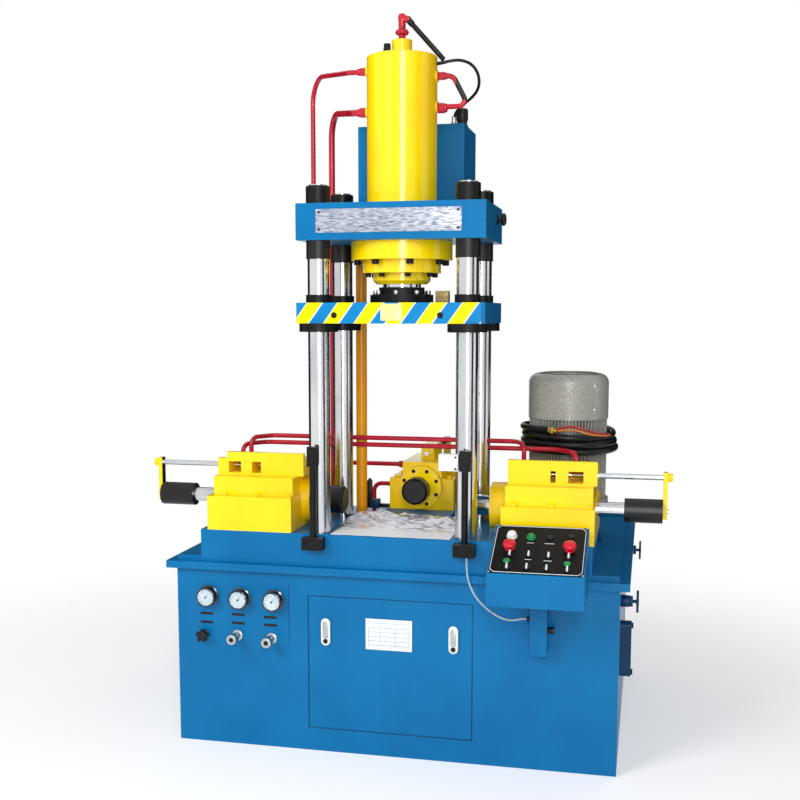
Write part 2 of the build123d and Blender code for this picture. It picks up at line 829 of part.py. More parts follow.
# Protective film laid on the table between the columns
with BuildPart() as table_film:
    with BuildSketch(Plane.XY.offset(bed_top)):
        with Locations((0, film_front)):
            Rectangle(film_width, film_back - film_front, align=(Align.CENTER, Align.MIN))
        with GridLocations(column_spacing_x, column_spacing_y, 2, 2):
            Circle(column_diameter / 2 + edge_break, mode=Mode.SUBTRACT)
    extrude(amount=film_thickness)
table_film.part.label = "table_film"
export_step(table_film.part, "parts/table_film.step")


def build_tube(points, diameter, radii):
    """Round tube along straight runs joined by tangent arcs."""
    with BuildPart() as tube:
        with BuildLine() as route:
            FilletPolyline(*points, radius=radii)
        start = route.line @ 0
        with BuildSketch(Plane(origin=start, z_dir=route.line % 0)):
            Circle(diameter / 2)
        sweep(path=route.line)
    return tube


def limp_radii(points):
    """Arc radius at each inner point of a lead, as large as its two runs allow."""
    radii = []
    for before, here, after in zip(points, points[1:], points[2:]):
        first = Vector(*here) - Vector(*before)
        second = Vector(*after) - Vector(*here)
        half_turn = math.radians(first.get_angle(second)) / 2
        radii.append(0.45 * min(first.length, second.length) / math.tan(half_turn))
    return radii


# Return tube from the deck up to the upper tank, behind the crosshead
return_tube_y = beam_depth / 2 + 50
return_tube_points = (
    (-205, return_tube_y, deck_top),
    (-205, return_tube_y, crosshead_bottom + 30),
    (-150, return_tube_y, crosshead_top - 45),
    (-150, return_tube_y, crosshead_top),
)
return_tube = build_tube(return_tube_points, return_tube_diameter, return_tube_bend)
return_tube.part.label = "return_tube"
export_step(return_tube.part, "parts/return_tube.step")

# Rigid oil pipes, each from a port to where it goes down behind the press
left_high, left_low = left_port_heights
right_high, right_low = right_port_heights
pipe_routes = {
    "oil_pipe_outer": (
        ((-port_reach, 0, left_high), (-180, 0, left_high), (-382, 240, 2335), (-382, 240, deck_top)),
        pipe_diameter, (40, 85),
    ),
    "oil_pipe_inner": (
        ((-port_reach, 0, left_low), (-165, 0, left_low), (-312, 240, 2205), (-312, 240, deck_top)),
        wide_pipe_diameter, (35, 75),
    ),
    "oil_pipe_right": (
        ((port_reach, 0, right_high), (172, 0, right_high), (224, 0, right_low),
         (port_reach, 0, right_low)),
        pipe_diameter, (30, 20),
    ),
    "core_pipe_upper": (
        ((-596, 132, core_block_top), (-596, 132, upper_route), (-540, 215, upper_route),
         (372, 215, upper_route), (408, 132, upper_route), (408, 132, core_block_top)),
        pipe_diameter, (30, 40, 40, 30),
    ),
    "core_pipe_lower": (
        ((-625, 122, core_block_top), (-625, 122, lower_route), (-570, 213, lower_route),
         (520, 213, lower_route), (590, 122, lower_route), (590, 122, core_block_top)),
        pipe_diameter, (30, 50, 50, 30),
    ),
    "rear_pipe_upper": (
        ((-rear_core_block_width / 2, 430, core_axis_height + 72), (-345, 430, core_axis_height + 72),
         (-345, 430, deck_top)),
        pipe_diameter, (40,),
    ),
    "rear_pipe_lower": (
        ((-rear_core_base_width / 2, 480, core_axis_height - 13), (-215, 480, core_axis_height - 13),
         (-215, 480, deck_top)),
        pipe_diameter, (30,),
    ),
}
for name, (points, diameter, radii) in pipe_routes.items():
    oil_pipe = build_tube(points, diameter, radii)
    oil_pipe.part.label = name
    export_step(oil_pipe.part, f"parts/{name}.step")

# Fitting on the cylinder head with its stiff feed hose
head_top = barrel_top + head_boss_height
feed_start = head_top + feed_height
feed_points = ((0, 0, feed_start), (22, 0, feed_start - feed_drop), (141, 0, barrel_top - 14))
with BuildPart() as head_fitting:
    with BuildSketch(Plane.XY.offset(head_top)):
        Circle(fitting_diameter / 2)
    extrude(amount=fitting_height)
    with BuildLine() as feed_route:
        FilletPolyline(*feed_points, radius=feed_bend)
    with BuildSketch(Plane(origin=feed_route.line @ 0, z_dir=feed_route.line % 0)):
        Circle(feed_pipe_diameter / 2)
    sweep(path=feed_route.line)
head_fitting.part.label = "head_fitting"
export_step(head_fitting.part, "parts/head_fitting.step")

# Limp leads: the hose from the cylinder head to the upper tank, and the sensor conduit
lead_routes = {
    "head_hose": (
        ((147, 0, 2316), (172, 4, 2321), (198, 13, 2322), (227, 27, 2313), (246, 47, 2290),
         (250, 70, 2261), (239, 94, 2236), (215, 120, 2219), (188, 147, 2207), (162, 172, 2194),
         (143, 188, 2173), (143, 188, upper_tank_top)),
        hose_diameter,
    ),
    "sensor_conduit": (
        ((265, -224, sensor_base_bottom), (265, -224, 668), (272, -229, 628), (290, -234, 590),
         (316, -238, 559), (350, -240, 533), (386, -239, 514), (420, -234, 509),
         (447, -228, 516), (post_left, -228, 516)),
        conduit_diameter,
    ),
}
for name, (points, diameter) in lead_routes.items():
    radii = limp_radii(points)
    print(name, "radii", [round(radius) for radius in radii])
    lead = build_tube(points, diameter, radii)
    lead.part.label = name
    export_step(lead.part, f"parts/{name}.step")

# Supply cable wound around the motor, resting on the terminal box
with BuildPart() as motor_cable:
    with BuildSketch(Plane.XY.offset(coil_bottom)):
        with Locations((motor_x, motor_y)):
            Circle(coil_inner_radius + coil_cable_diameter)
            Circle(coil_inner_radius, mode=Mode.SUBTRACT)
    extrude(amount=coil_turns * coil_cable_diameter)
motor_cable.part.label = "motor_cable"
export_step(motor_cable.part, "parts/motor_cable.step")

with BuildPart() as terminal_box:
    with BuildSketch(Plane.XY.offset(coil_bottom - terminal_box_height)):
        with Locations((motor_x, motor_y + motor_diameter / 2)):
            Rectangle(terminal_box_width, 2 * terminal_box_reach)
        with Locations((motor_x, motor_y)):
            Circle(motor_diameter / 2 + seat_gap, mode=Mode.SUBTRACT)
    extrude(amount=terminal_box_height)
terminal_box.part.label = "terminal_box"
export_step(terminal_box.part, "parts/terminal_box.step")
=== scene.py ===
import json
import math

import bmesh
import bpy
from mathutils import Matrix, Vector, noise


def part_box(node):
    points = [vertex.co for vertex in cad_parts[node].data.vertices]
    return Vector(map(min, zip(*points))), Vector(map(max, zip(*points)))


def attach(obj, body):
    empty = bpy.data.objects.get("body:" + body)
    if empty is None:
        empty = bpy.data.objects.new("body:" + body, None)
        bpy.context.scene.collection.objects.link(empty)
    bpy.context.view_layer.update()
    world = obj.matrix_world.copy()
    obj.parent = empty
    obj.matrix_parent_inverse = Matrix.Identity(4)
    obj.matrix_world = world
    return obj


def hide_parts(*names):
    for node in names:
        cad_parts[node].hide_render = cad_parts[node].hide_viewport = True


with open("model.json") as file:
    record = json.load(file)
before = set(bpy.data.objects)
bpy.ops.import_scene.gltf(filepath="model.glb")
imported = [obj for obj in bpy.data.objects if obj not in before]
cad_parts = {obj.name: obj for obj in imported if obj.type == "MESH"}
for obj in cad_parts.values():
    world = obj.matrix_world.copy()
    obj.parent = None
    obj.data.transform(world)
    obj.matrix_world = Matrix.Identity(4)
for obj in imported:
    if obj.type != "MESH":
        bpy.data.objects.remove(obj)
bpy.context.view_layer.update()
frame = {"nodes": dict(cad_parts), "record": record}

nodes = frame["nodes"]
slots = {row["node"]: row["material_slot"] for row in frame["record"]["subparts"]}
X, Y, Z = range(3)
LOW, HIGH = range(2)


# Faces and middles that the frame gives, in millimetres

def reach(node, axis, end):
    """Where a CAD node ends along an axis, on its low or its high side."""
    return round(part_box(node)[end][axis] * 1000, 2)


def centre_of(node, axis):
    """The middle of a CAD node along an axis."""
    return (reach(node, axis, LOW) + reach(node, axis, HIGH)) / 2


sheet_front = reach("cabinet", Y, LOW)
sheet_right = reach("cabinet", X, HIGH)
lid_top = reach("tank_lid", Z, HIGH)
bed_top = reach("bed_block", Z, HIGH)
crosshead_front = reach("crosshead", Y, LOW)
crosshead_right = reach("crosshead", X, HIGH)
platen_front = reach("platen", Y, LOW)
platen_bottom = reach("platen", Z, LOW)
platen_top = reach("platen", Z, HIGH)
port_face = reach("main_cylinder", X, HIGH)
head_top = reach("main_cylinder", Z, HIGH)
ring_bottom = reach("support_ring", Z, LOW)
core_height = centre_of("left_core_rod", Z)
core_top = reach("core_pipe_lower", Z, LOW)
motor_x, motor_y = (centre_of("fan_cowl", axis) for axis in (X, Y))
motor_bottom = reach("motor_body", Z, LOW)
motor_top = reach("motor_body", Z, HIGH)
cowl_top = reach("fan_cowl", Z, HIGH)


# Finishes

# Noise between which a colour drifts from its first to its second
cloud_band = (0.35, 0.65)
# Cosine of the turn at an edge between which its wear and its painted highlight begin and are full
edge_band = (0.995, 0.85)
# Sum of both noises between which the gloss goes from its least to its most rough
mottle_band = (0.6, 1.4)


def linear(code):
    """Linear colour of an sRGB hex value."""
    channels = [int(code[i:i + 2], 16) / 255 for i in (1, 3, 5)]
    return tuple(c / 12.92 if c <= 0.04045 else ((c + 0.055) / 1.055) ** 2.4 for c in channels) + (1.0,)


def blank(name):
    """A new material and its node tree, which is still empty."""
    material = bpy.data.materials.new(name)
    material.use_nodes = True
    material.node_tree.nodes.clear()
    return material, material.node_tree


def add(tree, kind, inputs, **settings):
    """A node with its settings, and its inputs as values or links."""
    node = tree.nodes.new("ShaderNode" + kind)
    for name, value in settings.items():
        setattr(node, name, value)
    for name, value in inputs.items():
        if isinstance(value, bpy.types.NodeSocket):
            tree.links.new(value, node.inputs[name])
        else:
            node.inputs[name].default_value = value
    return node


def worked(tree, operation, *values):
    """What a Math node works out from its values."""
    return add(tree, "Math", dict(enumerate(values)), operation=operation).outputs[0]


def ranged(tree, value, start, end, low=0.0, high=1.0, **settings):
    """A value taken from the range of start to end to the range of low to high."""
    inputs = {"Value": value, "From Min": start, "From Max": end, "To Min": low, "To Max": high}
    return add(tree, "MapRange", inputs, **settings).outputs[0]


def between(tree, share, one, two):
    """A number between two others."""
    return add(tree, "Mix", {0: share, 2: one, 3: two}).outputs[0]


def tinted(tree, share, one, two):
    """A colour between two others, each a hex value or a link."""
    one, two = (linear(colour) if isinstance(colour, str) else colour for colour in (one, two))
    return add(tree, "Mix", {0: share, 6: one, 7: two}, data_type="RGBA").outputs[2]


def inside(tree, place, boxes):
    """1 inside any of the boxes, each a dict of an axis and its low and high, and 0 elsewhere."""
    axes = add(tree, "SeparateXYZ", {0: place}).outputs
    total = None
    for box in boxes:
        part = None
        for axis, (low, high) in box.items():
            above = worked(tree, "GREATER_THAN", axes[axis], low)
            below = worked(tree, "LESS_THAN", axes[axis], high)
            span = worked(tree, "MULTIPLY", above, below)
            part = span if part is None else worked(tree, "MULTIPLY", part, span)
        total = part if total is None else worked(tree, "MAXIMUM", total, part)
    return total


def finish(name, colour, drift, rough, metallic=0.0, spread=0.06, cloud=0.25, grain=0.003, depth=0.0,
           stretch=(1, 1, 1), edge=0.0015, worn_and_lit=None, wear_and_glint=0.0, shine=0.5, over=None, boxes=(),
           pattern=None):
    """A hard finish. Its colour drifts between two over cloud metres, its grain is that many
    metres and depth metres high, and its edges catch the light over edge metres. over is a second
    look of colour, metallic and rough inside the boxes, and pattern draws on the colour."""
    material, tree = blank(name)
    place = add(tree, "TexCoord", {}).outputs["Object"]
    grained = add(tree, "Mapping", {"Vector": place, "Scale": stretch}).outputs[0]
    drifting = add(tree, "TexNoise", {"Vector": grained, "Scale": 1 / cloud, "Detail": 5.0}).outputs[0]
    grains = add(tree, "TexNoise", {"Vector": grained, "Scale": 1 / grain, "Detail": 2.0}).outputs[0]
    clouds = ranged(tree, drifting, *cloud_band)
    base = tinted(tree, clouds, colour, drift)
    soft = add(tree, "Bevel", {"Radius": edge}, samples=4).outputs[0]
    # Edges take the worn colour: rubbed bare metal on the steels and the bronze, and on the enamels a painted
    # highlight, a lighter tint of the paint
    if worn_and_lit:
        flat = add(tree, "NewGeometry", {}).outputs["Normal"]
        turn = add(tree, "VectorMath", {0: soft, 1: flat}, operation="DOT_PRODUCT").outputs["Value"]
        rubbed_and_lit = worked(tree, "MULTIPLY", ranged(tree, turn, *edge_band), wear_and_glint)
        base = tinted(tree, rubbed_and_lit, base, worn_and_lit)
    mottle = worked(tree, "ADD", clouds, grains)
    roughness = ranged(tree, mottle, *mottle_band, rough - spread, rough + spread)
    metal = metallic
    if pattern:
        base = pattern(tree, place, base)
    if over:
        mask = inside(tree, place, boxes)
        base = tinted(tree, mask, base, over[0])
        metal = between(tree, mask, metallic, over[1])
        roughness = between(tree, mask, roughness, over[2])
    normal = soft
    if depth:
        bumps = {"Height": grains, "Distance": depth, "Strength": 1.0, "Normal": soft}
        normal = add(tree, "Bump", bumps).outputs[0]
    shader = add(tree, "BsdfPrincipled", {"Base Color": base, "Metallic": metal, "Roughness": roughness,
                                          "Specular IOR Level": shine, "Normal": normal})
    add(tree, "OutputMaterial", {"Surface": shader.outputs[0]})
    return material


# Warning stripes, in metres: how far apart they are, how far they lean for their height, and where
# the first one starts at the platen's lower edge. A share of each period is yellow, and a white
# line of a smaller share to both sides marks where yellow starts and where it ends.
stripe_period = 0.1035
stripe_lean = 0.73
stripe_start = -0.327
stripe_end = 0.300
yellow_share = 0.52
start_line, end_line = 0.025, 0.022
# Whole periods that are added so that the count of stripes stays above nought
spare_periods = 10


def hazard_stripes(tree, place, base):
    """Yellow warning stripes with fine white edges on the platen's front."""
    axes = add(tree, "SeparateXYZ", {0: place}).outputs
    rise = worked(tree, "ADD", axes[Z], -platen_bottom / 1000)
    lean = worked(tree, "MULTIPLY", rise, -stripe_lean)
    along = worked(tree, "ADD", axes[X], lean)
    moved = worked(tree, "ADD", along, -stripe_start + spare_periods * stripe_period)
    phase = worked(tree, "FRACT", worked(tree, "DIVIDE", moved, stripe_period))
    yellow = worked(tree, "LESS_THAN", phase, yellow_share)
    first = worked(tree, "COMPARE", phase, 0.0, start_line)
    second = worked(tree, "COMPARE", phase, yellow_share, end_line)
    striped = tinted(tree, yellow, "#0a80c0", "#ffe400")
    lined = tinted(tree, worked(tree, "MAXIMUM", first, second), striped, "#f4f6ee")
    front_face = (-1, (platen_front + 0.5) / 1000)
    tape = inside(tree, place, ({Y: front_face, X: (-1, stripe_end)},))
    return tinted(tree, tape, base, lined)


# The enamels' worn colours are lighter tints of their own colours: a little wear and a painted highlight
# along every edge
# Sprayed gloss machine enamel: a faint orange peel of 4 mm and slow drift in its colour
blue_coat = {"colour": "#0070a8", "drift": "#00669e", "rough": 0.34, "grain": 0.004, "depth": 0.00003,
             "worn_and_lit": "#2f93cc", "wear_and_glint": 0.6, "shine": 0.22}
blue_enamel = finish("gloss_blue_enamel", **blue_coat)
striped_enamel = finish("striped_blue_enamel", pattern=hazard_stripes, **blue_coat)
# Yellow enamel brushed over the castings, thicker, so its peel is coarser
yellow_enamel = finish("gloss_yellow_enamel", "#ffe000", "#ffd200", 0.2, grain=0.006, depth=0.00005,
                       worn_and_lit="#fff07a", wear_and_glint=0.35, shine=0.55)
# Enamel on drawn steel tube, smooth and glossy
red_coat = {"colour": "#c4122e", "drift": "#a80f28", "rough": 0.24, "cloud": 0.08, "grain": 0.004}
red_enamel = finish("gloss_red_enamel", **red_coat, depth=0.00002, worn_and_lit="#e2607a", wear_and_glint=0.3, shine=0.5)
orange_enamel = finish("gloss_orange_enamel", "#f6a800", "#ee9600", 0.28, cloud=0.15, grain=0.004,
                       depth=0.00002, worn_and_lit="#ffc94a", wear_and_glint=0.3, shine=0.4)
# Satin enamel of the small fittings and the bell housing, darker than the cabinet's; the same dark blue is
# painted as shade in the gaps of the front sheet
dark_blue_and_gap_shade = finish("satin_dark_blue_enamel", "#0a3f66", "#083656", 0.4, grain=0.004, depth=0.00003,
                          worn_and_lit="#2c78ab", wear_and_glint=0.5, shine=0.25)
# Hammered grey enamel on the motor: pits of 5 mm speckle it
motor_enamel = finish("hammered_grey_enamel", "#b0b0a8", "#8e8d86", 0.3, spread=0.12, cloud=0.006,
                      grain=0.005, depth=0.0006, worn_and_lit="#c9c8c0", wear_and_glint=0.4, shine=0.6)
# Hard chrome, ground and polished: bright, with a fine drawn haze across it
chrome = finish("hard_chrome", "#d6d8da", "#c4c7ca", 0.1, metallic=1.0, spread=0.04, cloud=0.12, grain=0.004,
                depth=0.000004, stretch=(1, 1, 6), edge=0.0008)
# The columns: the same, a little duller, with a blackened collar under the crosshead
column_collar = (0.0005 + ring_bottom / 1000, 1.732)
column_chrome = finish("chromed_column", "#e0e2e4", "#c3c7cc", 0.17, metallic=1.0, spread=0.06, cloud=0.12,
                       grain=0.006, depth=0.00003, stretch=(1, 1, 0.5), edge=0.0008,
                       over=("#0b0b0c", 0.2, 0.45), boxes=({Z: column_collar},))
# Smoked chrome of the gauge cases
dark_chrome = finish("smoked_chrome", "#5c5f64", "#3c3e43", 0.16, metallic=1.0, spread=0.06, cloud=0.02,
                     grain=0.003, edge=0.0005)
# Blackened machined steel: near black, its edges rubbed bright
black_steel = finish("blackened_steel", "#0a0a0b", "#141414", 0.42, metallic=0.2, spread=0.1, cloud=0.05,
                     grain=0.002, depth=0.00002, worn_and_lit="#6b6866", wear_and_glint=0.7, shine=0.25)
# Zinc plated fasteners and couplings
zinc = finish("zinc_plate", "#c9cbc8", "#b4b6b6", 0.28, metallic=1.0, spread=0.08, cloud=0.01, grain=0.001,
              edge=0.0005)
# Turned brass gland
brass = finish("turned_brass", "#d9c27a", "#b8974a", 0.26, metallic=1.0, spread=0.08, cloud=0.01, grain=0.001,
               edge=0.0005)
# Brushed stainless plate: streaks drawn along its length, 4 mm apart so that they show
brushed_steel = finish("brushed_stainless", "#c6cbd8", "#6d7484", 0.42, metallic=0.3, spread=0.14,
                       cloud=0.006, grain=0.004, depth=0.00008, stretch=(0.3, 1, 2), edge=0.0006)
# Moulded plastics, and the anodised plate of the control panel
black_plastic = finish("black_moulded_plastic", "#08080a", "#101013", 0.42, cloud=0.02, grain=0.001,
                       depth=0.00001, edge=0.0006, shine=0.35)
panel_black = finish("black_anodised_panel", "#040405", "#09090b", 0.4, cloud=0.05, grain=0.001,
                     depth=0.000005, edge=0.0008, worn_and_lit="#3b3b40", wear_and_glint=0.6, shine=0.15)
white_plastic = finish("white_moulded_plastic", "#eef0f0", "#e0e3e5", 0.34, cloud=0.03, grain=0.001,
                       edge=0.0006)
red_plastic = finish("red_moulded_plastic", "#dd0a28", "#c20a24", 0.22, cloud=0.02, grain=0.001, edge=0.0006)
green_plastic = finish("green_moulded_plastic", "#078f42", "#057a38", 0.22, cloud=0.02, grain=0.001,
                       edge=0.0006)
# Printed film under clear plastic, and paper tape
label_white = finish("label_film", "#f1f5f8", "#e6edf2", 0.3, cloud=0.04, grain=0.002, edge=0.0004)
label_cream = finish("cream_tape", "#fdf07c", "#fff8b4", 0.35, cloud=0.03, grain=0.002, edge=0.0004)
# Oiled rubber, and the sheaths of the cable's two cores
rubber = finish("black_rubber", "#070708", "#101011", 0.4, spread=0.1, cloud=0.03, grain=0.003, depth=0.00003,
                shine=0.35)
red_sheath = finish("red_cable_sheath", "#b8202c", "#a01822", 0.35, cloud=0.02, grain=0.001, edge=0.0004)
amber_sheath = finish("amber_cable_sheath", "#e08a2e", "#c97722", 0.35, cloud=0.02, grain=0.001, edge=0.0004)
# Cast bronze that has gone dull
bronze = finish("dull_bronze", "#a08a54", "#7d6c42", 0.5, metallic=0.3, cloud=0.01, grain=0.002,
                depth=0.00003, worn_and_lit="#d2bf88", wear_and_glint=0.5)
# The right oil pipe: red tube, but its upper bend is black hose, in metres
hose_corner = {X: (0.182, 1), Z: (2.19, 3)}
hose_pipe = finish("red_tube_and_hose", **red_coat, over=("#0c0a0b", 0.0, 0.42), boxes=(hose_corner,))

# Side rams: the axis each runs on, its way outwards, and how far from the middle its black nose
# ends, its black sleeve starts and its enamelled link plate starts, in metres
core_bands = {"left": (X, -1, 0.264, 0.7605, 0.885), "right": (X, 1, 0.2605, 0.7575, 0.882),
              "rear": (Y, 1, 0.2755, 0.7725, 0.897)}
# The sleeve reaches a little under the plate, and the plate's look goes on past its end
sleeve_lap, plate_end = 0.0005, 1
rod_coat = {"colour": "#d6d8da", "drift": "#c4c7ca", "rough": 0.12, "metallic": 1.0, "spread": 0.04,
            "cloud": 0.1, "grain": 0.004, "edge": 0.001}


def stretch_of(way, near, far):
    """The low and high of a stretch that runs outwards."""
    return tuple(sorted((way * near, way * far)))


by_slot = {
    "blue_paint": blue_enamel, "yellow_paint": yellow_enamel, "orange_paint": orange_enamel,
    "red_paint": red_enamel, "chrome": chrome, "black_steel": black_steel, "grey_paint": motor_enamel,
    "dark_blue": dark_blue_and_gap_shade, "film": label_white, "rubber_black": rubber, "conduit_grey": rubber,
}
by_node = {"platen": striped_enamel, "control_panel": panel_black, "bell_housing": dark_blue_and_gap_shade,
           "oil_pipe_right": hose_pipe}
for side, (axis, way, nose, sleeve, plate) in core_bands.items():
    black = [{axis: stretch_of(way, 0, nose)}, {axis: stretch_of(way, sleeve, plate + sleeve_lap)}]
    by_node[f"{side}_core_rod"] = finish(f"{side}_rod_chrome", **rod_coat, over=("#0a0a0b", 0.2, 0.36),
                                         boxes=black)
    by_node[f"{side}_core_link"] = finish(f"{side}_link_finish", **rod_coat, over=("#fcd800", 0.0, 0.3),
                                          boxes=[{axis: stretch_of(way, plate, plate_end)}])
for name, node in nodes.items():
    node.data.materials.clear()
    look = column_chrome if name.startswith("column_") and "nut" not in name else by_slot[slots[name]]
    node.data.materials.append(by_node.get(name, look))


# Shapes

left, right, front, back, up, down = (Vector(v) for v in (
    (-1, 0, 0), (1, 0, 0), (0, -1, 0), (0, 1, 0), (0, 0, 1), (0, 0, -1)))
# An edge that turns by more radians than this is rounded
sharp_turn = 0.6
# An edge that turns by more degrees than this is shaded sharp
shading_turn = 40


def mm(*values):
    """Metres from millimetres."""
    return Vector([value / 1000 for value in values])


def placed(name, data):
    """An object in the scene that holds a mesh, a curve, a lamp or a camera."""
    made = bpy.data.objects.new(name, data)
    bpy.context.scene.collection.objects.link(made)
    return made


def block(bm, low, high):
    """A box between two corners, in metres."""
    verts = bmesh.ops.create_cube(bm, size=1)["verts"]
    bmesh.ops.scale(bm, vec=high - low, verts=verts)
    bmesh.ops.translate(bm, vec=(high + low) / 2, verts=verts)


def front_plate(bm, face, thick, x, z):
    """A plate on a face that looks to the front. x and z are its low and high, in millimetres."""
    block(bm, mm(x[0], face - thick, z[0]), mm(x[1], face, z[1]))


def aimed(start, direction):
    """The matrix that takes the upright axis to a direction from a start."""
    turn = Vector((0, 0, 1)).rotation_difference(Vector(direction)).to_matrix().to_4x4()
    return Matrix.Translation(start) @ turn


def bar(bm, start, direction, radius, length, sides=24, end_radius=None):
    """A round or hexagonal bar from a start along a direction, in metres."""
    middle = Matrix.Translation((0, 0, length / 2))
    bmesh.ops.create_cone(bm, cap_ends=True, segments=sides, radius1=radius,
                          radius2=radius if end_radius is None else end_radius, depth=length,
                          matrix=aimed(start, direction) @ middle)


def bar_between(bm, start, end, radius, sides=24):
    """A bar from one point to another, in metres."""
    bar(bm, start, (end - start).normalized(), radius, (end - start).length, sides=sides)


def gained(bm, before):
    """The vertices that a bmesh has gained."""
    return [vert for vert in bm.verts if vert not in before]


def turned(bm, start, direction, profile, steps=32):
    """A turned shape whose profile is radius and distance along a direction, in millimetres."""
    before = set(bm.verts)
    verts = [bm.verts.new((radius / 1000, 0, along / 1000)) for radius, along in profile]
    edges = [bm.edges.new(pair) for pair in zip(verts, verts[1:])]
    bmesh.ops.spin(bm, geom=verts + edges, cent=(0, 0, 0), axis=(0, 0, 1), angle=math.tau, steps=steps,
                   use_merge=True)
    bmesh.ops.remove_doubles(bm, verts=gained(bm, before), dist=1e-6)
    bmesh.ops.transform(bm, matrix=aimed(start, direction), verts=gained(bm, before))


def capsule(bm, x, z, width, height, back_y, front_y):
    """An upright round-ended plate facing the front, in millimetres."""
    radius = width / 2
    lift = height / 2 - radius
    steps = 12
    rim = []
    for first, rise in ((0, lift), (steps, -lift)):
        for k in range(first, first + steps + 1):
            angle = math.pi * k / steps
            rim.append((x + radius * math.cos(angle), z + radius * math.sin(angle) + rise))
    face = bm.faces.new([bm.verts.new(mm(px, back_y, pz)) for px, pz in rim])
    grown = bmesh.ops.extrude_face_region(bm, geom=[face])["geom"]
    ends = [vert for vert in grown if isinstance(vert, bmesh.types.BMVert)]
    bmesh.ops.translate(bm, vec=mm(0, front_y - back_y, 0), verts=ends)


def socket_screw(bm, start, direction, diameter, height):
    """The head of a socket screw, with its recess, in millimetres."""
    radius = diameter / 2
    socket, depth, rounding = radius * 0.5, height * 0.4, 1
    profile = ((0, 0), (radius, 0), (radius, height - rounding), (radius - rounding, height),
               (socket, height), (socket, depth), (0, depth))
    turned(bm, start, direction, profile, steps=16)


def domed_screw(bm, start, direction, radius, shoulder, rise, height):
    """The domed head of a small screw, in millimetres, with its shoulder at that radius and rise."""
    turned(bm, start, direction, ((0, 0), (radius, 0), (shoulder, rise), (0, height)), steps=14)


def piece(name, bm, look, body="frame", edge=0.0, stands_for=()):
    """Make a bmesh a piece that rides on a body, its sharp edges rounded by edge metres."""
    bmesh.ops.recalc_face_normals(bm, faces=bm.faces)
    if edge:
        sharp = [e for e in bm.edges if len(e.link_faces) == 2 and e.calc_face_angle() > sharp_turn]
        bmesh.ops.bevel(bm, geom=sharp, offset=edge, offset_type="OFFSET", segments=2, profile=0.5,
                        affect="EDGES", material=-1, clamp_overlap=True)
    mesh = bpy.data.meshes.new(name)
    bm.to_mesh(mesh)
    bm.free()
    mesh.shade_smooth()
    mesh.set_sharp_from_angle(angle=math.radians(shading_turn))
    mesh.materials.append(look)
    made = placed(name, mesh)
    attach(made, body)
    if stands_for:
        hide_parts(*stands_for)
    return made


def ring_points(centre, radius, count, first, axis="z"):
    """Points evenly round a centre, in millimetres, starting at a first angle in degrees."""
    x, y, z = centre
    for k in range(count):
        angle = math.radians(first + 360 * k / count)
        a, b = radius * math.cos(angle), radius * math.sin(angle)
        yield {"z": mm(x + a, y + b, z), "x": mm(x, y + a, z + b), "y": mm(x + a, y, z + b)}[axis]


# Nameplate on the crosshead, bare, with its corner screws
plate_x, plate_z, plate_thick = (-245, 236), (1754, 1830), 1.6
bm = bmesh.new()
front_plate(bm, crosshead_front, plate_thick, plate_x, plate_z)
piece("crosshead_plate", bm, brushed_steel, edge=0.0005)
bm = bmesh.new()
for z in (plate_z[0] + 10, plate_z[1] - 10):
    for x in (plate_x[0] + 11, plate_x[1] - 11):
        domed_screw(bm, mm(x, crosshead_front - plate_thick, z), front, 4, 3.4, 1.6, 2.2)
piece("crosshead_plate_screws", bm, black_steel)

# Bolts round the support ring and the gland, and round the ram's foot
gland_step, foot_step = 1627, 1555
bm = bmesh.new()
for z, radius, head, height in ((ring_bottom, 152, 24, 16), (gland_step, 115, 20, 13)):
    for point in ring_points((0, 0, z), radius, 8, 22.5):
        socket_screw(bm, point, down, head, height)
piece("cylinder_bolts", bm, black_steel, edge=0.0008)
bm = bmesh.new()
for point in ring_points((0, 0, foot_step), 92, 8, 0):
    socket_screw(bm, point, up, 18, 14)
piece("foot_bolts", bm, zinc, body="press_slide", edge=0.0008)

# Platen: bare tape in the middle, two plugs and a switch striker
bm = bmesh.new()
front_plate(bm, platen_front, 0.8, (-28, 42), (1470, 1524))
piece("platen_tape", bm, label_cream, body="press_slide", edge=0.0003)
bm = bmesh.new()
for x in (-185, 168):
    socket_screw(bm, mm(x, platen_front, 1487), front, 20, 3)
piece("platen_plugs", bm, black_steel, body="press_slide", edge=0.0005)
bm = bmesh.new()
block(bm, mm(142, -140, platen_top), mm(186, -112, platen_top + 38))
piece("switch_striker", bm, bronze, body="press_slide", edge=0.0015)

# Screws in the side rams' flanges and along their base ledges
flanges = {
    "left": ((reach("left_core_body", X, HIGH), 0), right, "x"),
    "right": ((reach("right_core_body", X, LOW), 0), left, "x"),
    "rear": ((0, reach("rear_core_body", Y, LOW)), front, "y"),
}
for side, (place, way, axis) in flanges.items():
    bm = bmesh.new()
    for point in ring_points((*place, core_height), 66, 8, 22.5, axis=axis):
        socket_screw(bm, point, way, 14, 3)
    piece(f"{side}_flange_screws", bm, black_steel, edge=0.0005)
ledge_top = 872
ledge_screws = {
    "left": [(x, y) for x in (-585, -470, -355) for y in (-172, 172)],
    "right": [(x, y) for x in (410, 532, 654) for y in (-172, 172)],
    "rear": [(x, y) for y in (390, 500, 610) for x in (-100, 100)],
}
for side, places in ledge_screws.items():
    bm = bmesh.new()
    for place in places:
        socket_screw(bm, mm(*place, ledge_top), up, 22, 9)
    piece(f"{side}_base_screws", bm, yellow_enamel, edge=0.0008)

